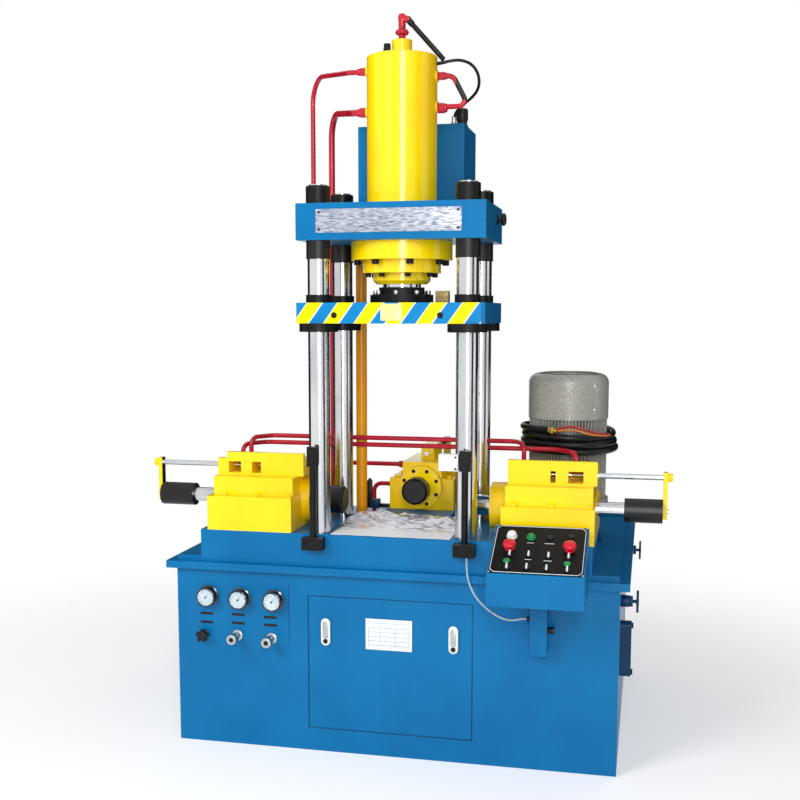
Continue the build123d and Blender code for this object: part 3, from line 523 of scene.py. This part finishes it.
# Pipe unions: a hexagonal nut and a collar where each pipe meets its port. Each row is where it
# starts, its way and the nut's radius.
unions = (
    ((-port_face, 0, 2296), left, 14), ((-port_face, 0, 2163), left, 17),
    ((port_face, 0, 2271), right, 14), ((port_face, 0, 2168), right, 18),
    ((-382, 240, lid_top), up, 16), ((-312, 240, lid_top), up, 19),
    ((-596, 132, core_top), up, 15), ((408, 132, core_top), up, 15),
    ((-625, 122, core_top), up, 15), ((590, 122, core_top), up, 15),
    ((-75, 430, 915), left, 15), ((-123, 480, 830), left, 15),
    ((-345, 430, lid_top), up, 15), ((-215, 480, lid_top), up, 15),
)
nut_length, collar_length, collar_share = 0.022, 0.008, 0.8
bm = bmesh.new()
for start, way, radius in unions:
    bar(bm, mm(*start), way, radius / 1000, nut_length, sides=6)
    bar(bm, mm(*start) + way * nut_length, way, radius * collar_share / 1000, collar_length, sides=20)
piece("pipe_unions", bm, red_enamel, edge=0.001)

# Elbow on the cylinder's head, its black feed pipe with the hose's nipple, and the bleed plug
elbow_profile = ((0, 0), (15, 0), (15, 8), (11, 10), (11, 16), (20, 19), (23, 26), (20, 33),
                 (12, 37), (12, 60), (13, 64), (13, 80), (9, 86), (0, 86))
bm = bmesh.new()
turned(bm, mm(0, 0, head_top), up, elbow_profile, steps=28)
bar(bm, mm(6, 0, 2462), Vector((1, 0, -0.3)).normalized(), 0.0115, 0.02, sides=20)
piece("head_elbow", bm, red_enamel, edge=0.0012, stands_for=("head_fitting",))
feed_start, feed_end = mm(20, 0, 2458), mm(141, 0, 2323)
feed_way = (feed_end - feed_start).normalized()
nipple_start, nipple_end = mm(117, 0, 2311), mm(149, 0, 2316)
bm = bmesh.new()
bar(bm, feed_start, feed_way, 0.0105, 0.022)
bar(bm, feed_start + feed_way * 0.02, feed_way, 0.0085, 0.148)
bar(bm, feed_start + feed_way * 0.158, feed_way, 0.0095, 0.022, sides=6)
bar(bm, nipple_start, (nipple_end - nipple_start).normalized(), 0.0056, 0.033, sides=20)
piece("feed_pipe", bm, rubber, edge=0.001)
bm = bmesh.new()
bar(bm, mm(-46, -20, 2337), up, 0.014, 0.024, sides=6)
bar(bm, mm(-46, -20, 2361), up, 0.012, 0.018, sides=20, end_radius=0.011)
piece("bleed_plug", bm, black_steel, edge=0.001)

# Breather cap and the hose's foot on the oil tank
tank_top = 2140
hose_foot = (143, 188)
breather_profile = ((0, 0), (22, 0), (22, 5), (18, 6), (18, 20), (21, 22), (21, 58), (17, 63), (0, 64))
bm = bmesh.new()
turned(bm, mm(166, 225, tank_top), up, breather_profile, steps=28)
piece("breather_cap", bm, black_plastic, edge=0.001)
bm = bmesh.new()
bar(bm, mm(*hose_foot, tank_top), up, 0.011, 0.012, sides=6)
bar(bm, mm(*hose_foot, tank_top + 12), up, 0.0075, 0.02, sides=20)
piece("hose_nipple", bm, zinc, edge=0.0006)


def from_motor(point):
    """The level way from the motor's axis to a point."""
    return Vector((point.x - motor_x / 1000, point.y - motor_y / 1000, 0)).normalized()


# Motor body: a barrel with cooling fins
barrel_profile = ((0, 0), (150, 0), (150, 20), (124, 24), (118, 40), (118, 313), (0, 313))
fin_count, fin_root, fin_tip, fin_half, fin_foot = 72, 114, 141, 1.6, 22
bm = bmesh.new()
turned(bm, mm(motor_x, motor_y, motor_bottom), up, barrel_profile, steps=64)
before = set(bm.verts)
block(bm, mm(motor_x + fin_root, motor_y - fin_half, motor_bottom + fin_foot),
      mm(motor_x + fin_tip, motor_y + fin_half, motor_top))
fin = gained(bm, before)
fin_edges = [edge for edge in bm.edges if edge.verts[0] in fin]
fin_faces = [face for face in bm.faces if face.verts[0] in fin]
bmesh.ops.spin(bm, geom=fin + fin_edges + fin_faces, cent=mm(motor_x, motor_y, 0), axis=(0, 0, 1),
               angle=math.tau * (fin_count - 1) / fin_count, steps=fin_count - 1, use_duplicate=True)
piece("finned_motor_body", bm, motor_enamel, stands_for=("motor_body",))

# Fan cowl: its screws, and its round opening with a guard of rings on spokes, over a black disc that stands
# for the fan and the painted shade inside the cowl
bm = bmesh.new()
for height in (1150, 1235):
    for point in ring_points((motor_x, motor_y, height), 144.5, 4, 45):
        turned(bm, point, from_motor(point), ((0, -2), (6, -2), (6, 1), (4, 3), (0, 3.6)), steps=14)
piece("cowl_screws", bm, zinc)
guard_wire, guard_rise = 4, 3
bm = bmesh.new()
for radius in range(24, 108, 14):
    wide = radius + guard_wire
    turned(bm, mm(motor_x, motor_y, cowl_top), up,
           ((radius, -1), (wide, -1), (wide, guard_rise), (radius, guard_rise), (radius, -1)), steps=48)
for point in ring_points((motor_x, motor_y, cowl_top - 1), 62, 6, 0):
    way = from_motor(point)
    bar(bm, point - way * 0.042, way, 0.0022, 0.086, sides=8)
piece("fan_guard", bm, motor_enamel)
# Black disc in the opening: the dark fan and painted shade inside the cowl
bm = bmesh.new()
turned(bm, mm(motor_x, motor_y, cowl_top), up, ((0, -1), (106, -1), (106, 0.6), (0, 0.6)), steps=48)
piece("fan_and_opening_shade", bm, black_plastic)

# Lid screws of the terminal box
bm = bmesh.new()
for x in (motor_x - 52, motor_x + 52):
    for z in (878, 972):
        domed_screw(bm, mm(x, reach("terminal_box", Y, HIGH), z), back, 5, 4, 3, 3.6)
piece("terminal_box_screws", bm, zinc)

# Gauges: flanged case, dial, pointer with its scale, and glass
gauges = ((-640, 523), (-523, 520), (-402, 520))
case_profile = ((0, 0), (37, 0), (37, 3), (31, 5), (31, 24), (34, 26), (34, 33), (31, 35), (29, 35),
                (29, 30), (0, 30))
dial_face = sheet_front - 30.8
tick_count, first_tick, tick_turn = 11, 225, 27
pointer_way = Vector((0.62, 0, 0.78))
cases, dials, marks, glass = (bmesh.new() for _ in range(4))
for x, z in gauges:
    turned(cases, mm(x, sheet_front, z), front, case_profile, steps=48)
    turned(dials, mm(x, dial_face + 0.8, z), front, ((0, 0), (28.6, 0), (28.6, 0.8), (0, 0.8)), steps=40)
    turned(marks, mm(x, dial_face, z), front, ((0, 0), (3.4, 0), (3.0, 2), (0, 2)), steps=14)
    turned(glass, mm(x, dial_face - 2.6, z), front, ((0, 0), (28.8, 0), (28.8, 1.6), (0, 1.6)), steps=40)
    for k in range(tick_count):
        angle = math.radians(first_tick - tick_turn * k)
        way = Vector((math.cos(angle), 0, math.sin(angle)))
        length = 0.0055 if k % 2 == 0 else 0.0035
        bar(marks, mm(x, dial_face - 0.2, z) + way * 0.0205, way, 0.0007, length, sides=6)
    bar(marks, mm(x, dial_face - 1.2, z) - pointer_way * 0.006, pointer_way, 0.0011, 0.025, sides=6,
        end_radius=0.0004)
piece("gauge_cases", cases, dark_chrome, edge=0.0005)
piece("gauge_dials", dials, label_white)
piece("gauge_marks", marks, black_plastic)
clear, tree = blank("gauge_glass")
pane = add(tree, "BsdfPrincipled", {"Base Color": linear("#f4fbff"), "Roughness": 0.03, "IOR": 1.45,
                                    "Transmission Weight": 1.0})
add(tree, "OutputMaterial", {"Surface": pane.outputs[0]})
piece("gauge_glasses", glass, clear)

# Blank label strips under the gauges
strips = ((-649, 459), (-649, 428), (-533, 461), (-533, 431), (-418, 458), (-416, 431))
bm = bmesh.new()
for x, z in strips:
    front_plate(bm, sheet_front, 0.6, (x - 23, x + 23), (z - 4.5, z + 4.5))
piece("gauge_label_strips", bm, black_plastic, edge=0.0002)

# Star knob and two quick couplings under the gauges
knob_x, knob_z = -656, 386
knob_profile = ((0, 0), (16, 0), (16, 4), (9, 6), (9, 20), (14, 22), (17, 27), (17, 34), (12, 38), (0, 38))
bm = bmesh.new()
turned(bm, mm(knob_x, sheet_front, knob_z), front, knob_profile, steps=30)
for point in ring_points((knob_x, sheet_front - 23, knob_z), 16, 5, 18, axis="y"):
    bar(bm, point, front, 0.0065, 0.014, sides=14)
piece("star_knob", bm, black_plastic, edge=0.0012)
couplings = ((-536, 389), (-412, 386))
coupling_profile = ((0, 0), (19, 0), (19, 5), (12, 6), (12, 22), (15, 24), (15, 44), (18, 46), (18, 64),
                    (16, 66), (8, 66), (8, 50), (0, 50))
bm = bmesh.new()
for x, z in couplings:
    turned(bm, mm(x, sheet_front, z), front, coupling_profile)
piece("quick_couplings", bm, zinc, edge=0.0008)
# A black disc deep in each coupling's bore: painted shade in its mouth
bm = bmesh.new()
for x, z in couplings:
    turned(bm, mm(x, sheet_front, z), front, ((0, 49), (8.4, 49), (8.4, 60), (0, 60)), steps=20)
piece("coupling_mouth_shade", bm, black_plastic)

# Latches on the cover: a white frame, a bright paddle and a key barrel
latches = ((-219, 421), (219, 421))
latch_face = sheet_front - 7
barrel_ring = ((0, 0), (8, 0), (8, 3), (6.5, 4), (3, 4), (3, 2), (0, 2))
frames, paddles, barrels = (bmesh.new() for _ in range(3))
for x, z in latches:
    capsule(frames, x, z, 32, 94, sheet_front, latch_face)
    block(paddles, mm(x - 9, latch_face - 3, z - 20), mm(x + 9, latch_face + 1, z + 36))
    turned(barrels, mm(x, latch_face, z - 31), front, barrel_ring, steps=20)
piece("latch_frames", frames, white_plastic, edge=0.0018)
piece("latch_paddles", paddles, zinc, edge=0.0015)
piece("latch_barrels", barrels, black_steel)

# Rating plate on the cover, bare but for ruled lines
rating_thick = 2.2
line_half = 0.5
line_face = sheet_front - rating_thick + 0.1
line_low, line_high, column_high = 386, 462, 446
line_left, line_right = -70, 69
bm = bmesh.new()
front_plate(bm, sheet_front, rating_thick, (-80, 79), (370, 476))
piece("rating_plate", bm, label_white, edge=0.0004)
bm = bmesh.new()
for z in (line_high, column_high, 431, 416, 401, line_low):
    front_plate(bm, line_face, 0.4, (line_left, line_right), (z - line_half, z + line_half))
for x in (line_left, -30, 22, line_right):
    front_plate(bm, line_face, 0.4, (x - line_half, x + line_half), (line_low, column_high))
piece("rating_plate_lines", bm, blue_enamel)

# Painted shade: dark strips on the sheet stand for the shade in the gap round the cover, and at the lap of
# the front sheet beside the gauges
gap_in, gap_out, gap_low, gap_high = 281, 284, 79, 544
bm = bmesh.new()
for x, z in (((-gap_out, -gap_in), (gap_low, gap_high)), ((gap_in, gap_out), (gap_low, gap_high)),
             ((-gap_in, gap_in), (gap_high - 2, gap_high)), ((-gap_in, gap_in), (gap_low, gap_low + 2))):
    front_plate(bm, sheet_front, 0.4, x, z)
front_plate(bm, sheet_front, 0.7, (-351.5, -349.5), (369, 579))
piece("painted_gap_shade", bm, dark_blue_and_gap_shade, edge=0.0003)

# Control panel: its fittings stand on the sloping plate, and their places run across and down it
# from the desk's upper left corner, in millimetres
panel_thick = 3
desk_depth, desk_drop = 225, 108
panel_origin = mm(reach("control_box", X, LOW), reach("control_box", Y, HIGH), reach("control_box", Z, HIGH))
panel_down = Vector((0, -desk_depth, -desk_drop)).normalized()
panel_out = Vector((0, -desk_drop, desk_depth)).normalized()


def on_panel(across, along, proud=panel_thick):
    """A point on the sloping panel, proud of the desk by so many millimetres."""
    return panel_origin + Vector((across / 1000, 0, 0)) + panel_down * along / 1000 + panel_out * proud / 1000


def panel_block(bm, across, along, width, height, low, high):
    """A box lying on the sloping panel, from low to high above it."""
    verts = bmesh.ops.create_cube(bm, size=1)["verts"]
    bmesh.ops.scale(bm, vec=mm(width, height, high - low), verts=verts)
    tilt = Matrix((right, -panel_down, panel_out)).transposed().to_4x4()
    place = Matrix.Translation(on_panel(across, along, panel_thick + (low + high) / 2)) @ tilt
    bmesh.ops.transform(bm, matrix=place, verts=verts)


mushroom = ((0, 0), (16, 0), (16, 3), (10, 4), (10, 12), (20, 15), (21, 19), (18, 25), (10, 28), (0, 29))
button = ((0, 0), (15, 0), (15, 4), (12, 5), (12, 10), (10.5, 12), (0, 12.6))
small_button = ((0, 0), (11, 0), (11, 5), (9, 7), (0, 8))
lamp = ((0, 0), (17, 0), (17, 4), (15, 5), (15, 12), (12, 17), (6, 20), (0, 21))
selector_base = ((0, 0), (11, 0), (11, 3), (9, 5), (0, 5))
selectors = ((62, 156), (120, 156), (181, 158), (242, 158), (60, 221), (120, 218), (180, 220), (242, 222))
fittings = {
    "stop_buttons": (red_plastic, mushroom, ((58, 124), (243, 120))),
    "start_button": (green_plastic, button, ((119, 66),)),
    "green_buttons": (green_plastic, small_button, ((56, 190), (240, 192))),
    "power_lamp": (white_plastic, lamp, ((59, 64),)),
    "selector_bases": (black_plastic, selector_base, (*selectors, (178, 62), (242, 52))),
}
for name, (look, profile, places) in fittings.items():
    bm = bmesh.new()
    for place in places:
        turned(bm, on_panel(*place), panel_out, profile, steps=28)
    piece(name, bm, look, edge=0.0005)
bm = bmesh.new()
for place in selectors:
    panel_block(bm, *place, 6, 19, 5, 13)
piece("selector_levers", bm, white_plastic, edge=0.0012)

# A white border with cut corners round the panel, and a stroke for each line of writing
corner = 12
border_left, border_top, border_right, border_bottom = 9, 8, 287, 242
border = (
    (border_left + corner, border_top), (border_right - corner, border_top),
    (border_right, border_top + corner), (border_right, border_bottom - corner),
    (border_right - corner, border_bottom), (border_left + corner, border_bottom),
    (border_left, border_bottom - corner), (border_left, border_top + corner),
)
strokes = ((119, 92, 22), (178, 92, 30), (242, 78, 24), (120, 176, 20), (180, 178, 26))
bm = bmesh.new()
for start, end in zip(border, border[1:] + border[:1]):
    bar_between(bm, on_panel(*start, proud=3.2), on_panel(*end, proud=3.2), 0.0012, sides=6)
for across, along, width in strokes:
    panel_block(bm, across, along, width, 2.4, 0, 0.4)
piece("panel_lines", bm, white_plastic)
bm = bmesh.new()
for along in (6.5, 243):
    for across in (6.5, 289.5):
        domed_screw(bm, on_panel(across, along), panel_out, 4, 3.2, 1.8, 2.2)
piece("panel_screws", bm, zinc)

# Under the desk: the conduit's gland on the post, a clamp knob and a cable gland
conduit_end = mm(475, -228, 516)
knob_place, gland_place = (-226, 482), (575, -280)
bm = bmesh.new()
bar(bm, conduit_end, left, 0.009, 0.012, sides=6)
bar(bm, mm(530, *knob_place), right, 0.009, 0.008)
bar(bm, mm(538, *knob_place), right, 0.012, 0.012, sides=10)
piece("post_knob_and_gland", bm, black_plastic, edge=0.001)
bm = bmesh.new()
bar(bm, mm(*gland_place, 609), down, 0.013, 0.012, sides=6)
bar(bm, mm(*gland_place, 597), down, 0.009, 0.012, sides=20)
piece("desk_gland", bm, zinc, edge=0.0006)

# White switch box on the right sensor bar, and the screws of the box and of both clamps
box_front, clamp_front = -234, -226
bm = bmesh.new()
block(bm, mm(172, box_front, 988), mm(236, -206, 1043))
piece("switch_box", bm, white_plastic, edge=0.003)
bm = bmesh.new()
for z in (1034, 996):
    domed_screw(bm, mm(228, box_front, z), front, 4, 3, 2, 2.4)
for x in (-256, 256):
    for z in (1002, 1038):
        socket_screw(bm, mm(x, clamp_front, z), front, 9, 4)
piece("clamp_screws", bm, black_steel)

# Stop valves: hexagonal bonnet, spindle and spoked handwheel
valve_height = 535
wheel_x = sheet_right + 53.5
rim_radius, rim_wire, rim_sides, spoke_count = 34, 4, 12, 4
rim_angles = [math.tau * k / rim_sides for k in range(rim_sides)]
rim = [(rim_radius + rim_wire * math.cos(angle), rim_wire * math.sin(angle)) for angle in rim_angles]
for place, y in (("front", 0), ("back", 840)):
    hub = mm(wheel_x, y, valve_height)
    bm = bmesh.new()
    bar(bm, mm(sheet_right, y, valve_height), right, 0.020, 0.026)
    bar(bm, mm(sheet_right + 26, y, valve_height), right, 0.019, 0.012, sides=6)
    bar(bm, mm(sheet_right + 38, y, valve_height), right, 0.0055, 0.020)
    turned(bm, hub, right, rim + rim[:1], steps=40)
    bar(bm, mm(wheel_x - 4.5, y, valve_height), right, 0.010, 0.009)
    for spoke in ring_points((wheel_x, y, valve_height), 20, spoke_count, 20, axis="x"):
        bar(bm, hub, (spoke - hub).normalized(), 0.0032, 0.033, sides=10)
    piece(f"handwheel_valve_{place}", bm, dark_blue_and_gap_shade, edge=0.0006,
          stands_for=(f"stop_valve_{place}",))

# Sight glass of the oil level gauge, with its two screws and its marks
gauge_face = reach("level_gauge", X, HIGH)
bm = bmesh.new()
block(bm, mm(gauge_face - 0.5, -9, 308), mm(gauge_face + 0.5, 9, 436))
piece("level_window", bm, label_white, edge=0.0004)
bm = bmesh.new()
for z in (292, 452):
    bar(bm, mm(gauge_face, 0, z), right, 0.010, 0.006, sides=6)
for z in range(320, 430, 18):
    block(bm, mm(gauge_face, -6, z - 0.8), mm(gauge_face + 0.9, 6, z + 0.8))
piece("level_gauge_screws_and_marks", bm, black_steel)

# Limit switch and its bracket on the bed's back arm, left of the rear ram
bm = bmesh.new()
block(bm, mm(-209, 340, bed_top), mm(-193, 364, bed_top + 106))
bar(bm, mm(-201, 352, bed_top + 103), up, 0.006, 0.010, sides=16)
block(bm, mm(-162, 344, bed_top + 3), mm(-124, 360, bed_top + 17))
piece("rear_switch", bm, black_plastic, edge=0.0015)
bm = bmesh.new()
block(bm, mm(-193, 336, bed_top), mm(-162, 368, bed_top + 34))
piece("rear_switch_block", bm, dark_blue_and_gap_shade, edge=0.0015)

# Knob on the crosshead's right side
side_knob = ((0, 0), (18, 0), (18, 5), (8, 7), (8, 14), (20, 17), (22, 24), (16, 30), (0, 32))
bm = bmesh.new()
turned(bm, mm(crosshead_right, 60, 1806), right, side_knob, steps=28)
piece("crosshead_knob", bm, black_plastic, edge=0.001)

# Film on the table: flat at the front, crumpled behind, where bright metal shows through. It
# starts to lift at a wavy line, and its creases run between the cells of two noises. Heights are
# in metres, and the factors of x and y are cells in a metre.
film_low, film_high = mm(-204, -192, bed_top + 0.6), mm(204, 190, bed_top + 0.6)
lift_line, lift_wave, lift_run = -0.07, 0.03, 0.10
crease_height, fine_crease_height, swell_height, ripple_height = 0.024, 0.005, 0.008, 0.0006
bm = bmesh.new()
bmesh.ops.create_grid(bm, x_segments=130, y_segments=120, size=0.5)
bmesh.ops.scale(bm, vec=(film_high.x - film_low.x, film_high.y - film_low.y, 1), verts=bm.verts)
bmesh.ops.translate(bm, vec=(film_low + film_high) / 2, verts=bm.verts)
for vert in bm.verts:
    x, y = vert.co.x, vert.co.y
    past_line = y - lift_line + lift_wave * noise.noise((x * 9, 3.0, 0.0))
    loose = min(1.0, max(0.0, past_line / lift_run))
    ways = noise.voronoi((x * 11, y * 17, 0.5))[0]
    finer = noise.voronoi((x * 30 + 7, y * 34, 2.5))[0]
    swell = max(0.0, noise.noise((x * 11, y * 13, 1.0)) + 0.6) * swell_height
    crease = (ways[1] - ways[0]) * crease_height + (finer[1] - finer[0]) * fine_crease_height + swell
    ripple = ripple_height * (1 + noise.noise((x * 24, y * 10, 4.0)))
    vert.co.z += loose * crease + ripple
film_look = finish("clear_film_on_bright_steel", "#ffffff", "#f6f8fc", 0.45, spread=0.06, cloud=0.03,
                   grain=0.006, depth=0.0002, edge=0.0003, shine=0.25, over=("#e2e5ee", 0.6, 0.24),
                   boxes=({Y: (-0.075, 1)},))
film = piece("crumpled_film", bm, film_look, stands_for=("table_film",))
shell = film.modifiers.new("thickness", "SOLIDIFY")
shell.thickness = 0.0004
shell.offset = 1


# Cords

def spline(name, points, radius, look, stands_for=()):
    """A smooth cord on its control points, in millimetres, with its radius in metres."""
    curve = bpy.data.curves.new(name, "CURVE")
    curve.dimensions = "3D"
    curve.bevel_depth = radius
    curve.bevel_resolution = 5
    curve.resolution_u = 10
    curve.use_fill_caps = True
    line = curve.splines.new("NURBS")
    line.points.add(len(points) - 1)
    for point, place in zip(line.points, points):
        point.co = (*mm(*place), 1)
    line.order_u = 3
    line.use_endpoint_u = True
    curve.materials.append(look)
    made = placed(name, curve)
    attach(made, "frame")
    if stands_for:
        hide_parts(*stands_for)
    return made


# Hose from the nipple on the cylinder's head to the oil tank
hose_points = ((147, 0, 2316), (172, 4, 2321), (198, 13, 2322), (227, 27, 2313), (246, 47, 2290),
               (250, 70, 2261), (239, 94, 2236), (215, 120, 2219), (188, 147, 2207), (162, 172, 2194),
               (*hose_foot, 2173), (*hose_foot, tank_top))
hose = spline("tank_hose", hose_points, 0.005, rubber, stands_for=("head_hose",))

# Ribbed conduit from the right sensor bar to the desk's post
conduit_points = ((265, -224, 706), (265, -224, 668), (272, -229, 628), (290, -234, 590),
                  (316, -238, 559), (350, -240, 533), (386, -239, 514), (420, -234, 509),
                  (447, -228, 516), (475, -228, 516))
conduit_look = finish("ribbed_grey_conduit", "#7d97a8", "#b4c4cf", 0.5, cloud=0.004, grain=0.002,
                      depth=0.0001)
conduit = spline("sensor_lead", conduit_points, 0.0035, conduit_look,
                 stands_for=("sensor_conduit",))

# Supply cable: three and a half turns round the motor, each lying on the last. They sag on one
# side and bulge on another, the first two turns most. Lengths are in millimetres, angles in degrees.
coil_radius, coil_low, coil_pitch = 165, 999, 24.6
coil_first, coil_last, coil_steps = 72, 252 + 3 * 360, 49
coil_sag, sag_turn = 14, 40
coil_wave, waves = 4, 2.3
coil_points = []
for k in range(coil_steps + 1):
    angle = coil_first + (coil_last - coil_first) * k / coil_steps
    turn = (angle - coil_first) / 360
    way = math.radians(angle)
    sag = coil_sag * ((1 + math.cos(way + math.radians(sag_turn))) / 2) ** 2
    bulge = (8 if turn < 2 else 3) * max(0, math.cos(way))
    wide = coil_radius + coil_wave * math.sin(waves * way) + bulge
    coil_points.append((motor_x + wide * math.cos(way), motor_y + wide * math.sin(way),
                        coil_low + coil_pitch * turn - sag))
cable = spline("motor_lead", coil_points, 0.012, rubber, stands_for=("motor_cable",))

# Brass gland on the cable's far end, and the terminal box's outlet on its near one
coil_end, exit_point = mm(*coil_points[-1]), mm(*coil_points[0])
end_way = (coil_end - mm(*coil_points[-2])).normalized()
start_way = (mm(*coil_points[1]) - exit_point).normalized()
bm = bmesh.new()
bar(bm, coil_end - end_way * 0.004, end_way, 0.014, 0.010)
bar(bm, coil_end + end_way * 0.006, end_way, 0.017, 0.012, sides=6)
bar(bm, coil_end + end_way * 0.018, end_way, 0.011, 0.012)
gland = piece("lead_gland", bm, brass, edge=0.0008)
outlet = exit_point - start_way * 0.03
box_top = reach("terminal_box", Z, HIGH) / 1000
bm = bmesh.new()
bar(bm, outlet, start_way, 0.0165, 0.034)
block(bm, outlet - mm(18, 18, 0) - Vector((0, 0, exit_point.z - box_top)), outlet + mm(18, 18, 12))
piece("terminal_box_outlet", bm, motor_enamel, edge=0.002)

# The two cores that come out of the gland, the amber one below the red one
for name, look, lift in (("red_core", red_sheath, 0), ("amber_core", amber_sheath, -12)):
    core_points = ((515, 235, 1082 + lift / 3), (548, 222, 1096 + lift), (584, 214, 1096 + lift),
                   (622, 218, 1082 + lift), (656, 240, 1070 + lift / 2), (686, 278, 1066 + lift / 2),
                   (697, 318, 1062), (694, 345, 1052))
    core = spline(name, core_points, 0.0035, look)


# Studio

def plainly_seen(tree):
    """1 for rays from the camera, from polished metal and through glass, and 0 for light on the press."""
    path = add(tree, "LightPath", {}).outputs
    glossy = worked(tree, "MAXIMUM", path["Is Glossy Ray"], path["Is Transmission Ray"])
    return worked(tree, "MAXIMUM", path["Is Camera Ray"], glossy)


# Floor: pale and matt, brightened and faded into the white background where it is plainly seen
floor_size = 40
fade_start, fade_end = 1.2, 3.2
floor_glow = 0.3
floor_mesh = bpy.data.meshes.new("floor")
bm = bmesh.new()
bmesh.ops.create_grid(bm, x_segments=1, y_segments=1, size=floor_size)
bm.to_mesh(floor_mesh)
bm.free()
floor = placed("floor", floor_mesh)
floor_look, tree = blank("pale_floor")
matt = add(tree, "BsdfPrincipled", {"Base Color": linear("#ededee"), "Roughness": 0.9})
seen = plainly_seen(tree)
place = add(tree, "TexCoord", {}).outputs["Object"]
away = add(tree, "VectorMath", {0: place}, operation="LENGTH").outputs["Value"]
fade = ranged(tree, away, fade_start, fade_end, interpolation_type="SMOOTHSTEP")
gone = worked(tree, "MULTIPLY", fade, seen)
glow = add(tree, "Emission", {"Strength": worked(tree, "MULTIPLY", seen, floor_glow)})
lit = add(tree, "AddShader", {0: matt.outputs[0], 1: glow.outputs[0]})
see_through = add(tree, "BsdfTransparent", {})
choice = add(tree, "MixShader", {0: gone, 1: lit.outputs[0], 2: see_through.outputs[0]})
add(tree, "OutputMaterial", {"Surface": choice.outputs[0]})
floor_mesh.materials.append(floor_look)

# World: white where it is plainly seen, and a dim fill for the light on the press
world_fill = 0.34
world = bpy.data.worlds.new("studio")
bpy.context.scene.world = world
world.use_nodes = True
tree = world.node_tree
tree.nodes.clear()
strength = between(tree, plainly_seen(tree), world_fill, 1.0)
sky = add(tree, "Background", {"Color": (1, 1, 1, 1), "Strength": strength})
add(tree, "OutputWorld", {"Surface": sky.outputs[0]})


def lamp_at(name, place, target, size, power, mirrored=True):
    """A soft square lamp aimed at a point, in metres and watts."""
    light = bpy.data.lights.new(name, "AREA")
    light.shape = "RECTANGLE"
    light.size, light.size_y = size
    light.energy = power
    lamp_object = placed(name, light)
    lamp_object.visible_glossy = mirrored
    lamp_object.location = place
    lamp_object.rotation_euler = (Vector(target) - Vector(place)).to_track_quat("-Z", "Y").to_euler()


lamp_at("key", (-2.6, -4.2, 3.6), (0, 0, 1.2), (2.2, 2.6), 165, mirrored=False)
lamp_at("front", (1.25, -5.0, 2.4), (0, 0, 1.3), (0.9, 3.4), 135)
lamp_at("rim", (2.5, 4.0, 3.6), (0, 0.3, 1.2), (2.4, 2.0), 30, mirrored=False)

# Dark cards round the set, seen only in polished metal and in grazing paint. Each spans two
# bearings in degrees, which start at the front and run round by the right.
card_spans = ((55, 76), (104, 184), (204, 272))
card_distance, card_bottom, card_top, card_steps = 6, -0.5, 5.5, 12
card_look, tree = blank("dark_card")
dark = add(tree, "BsdfPrincipled", {"Base Color": linear("#101012"), "Roughness": 1.0})
add(tree, "OutputMaterial", {"Surface": dark.outputs[0]})
for k, (first, last) in enumerate(card_spans):
    bearings = [math.radians(first + (last - first) * step / card_steps) for step in range(card_steps + 1)]
    bm = bmesh.new()
    foot = [bm.verts.new((card_distance * math.sin(a), -card_distance * math.cos(a), card_bottom))
            for a in bearings]
    foot_edges = [bm.edges.new(pair) for pair in zip(foot, foot[1:])]
    grown = bmesh.ops.extrude_edge_only(bm, edges=foot_edges)["geom"]
    tops = [vert for vert in grown if isinstance(vert, bmesh.types.BMVert)]
    bmesh.ops.translate(bm, vec=(0, 0, card_top - card_bottom), verts=tops)
    mesh = bpy.data.meshes.new(f"card_{k}")
    bm.to_mesh(mesh)
    bm.free()
    mesh.materials.append(card_look)
    card = placed(f"card_{k}", mesh)
    card.visible_camera = card.visible_diffuse = card.visible_shadow = card.visible_transmission = False

# Camera, as solved from the straight edges in the photograph
camera_data = bpy.data.cameras.new("camera")
camera_data.lens = 50.757
camera_data.sensor_width = 36
camera_data.shift_x = 0.0108
camera_data.shift_y = 0.0515
camera_data.clip_end = 100
camera = placed("camera", camera_data)
camera.location = (0.827, -3.778, 1.500)
camera.rotation_euler = (math.radians(83.426), 0, math.radians(12.875))
bpy.context.scene.camera = camera
bpy.context.scene.view_settings.view_transform = "Standard"
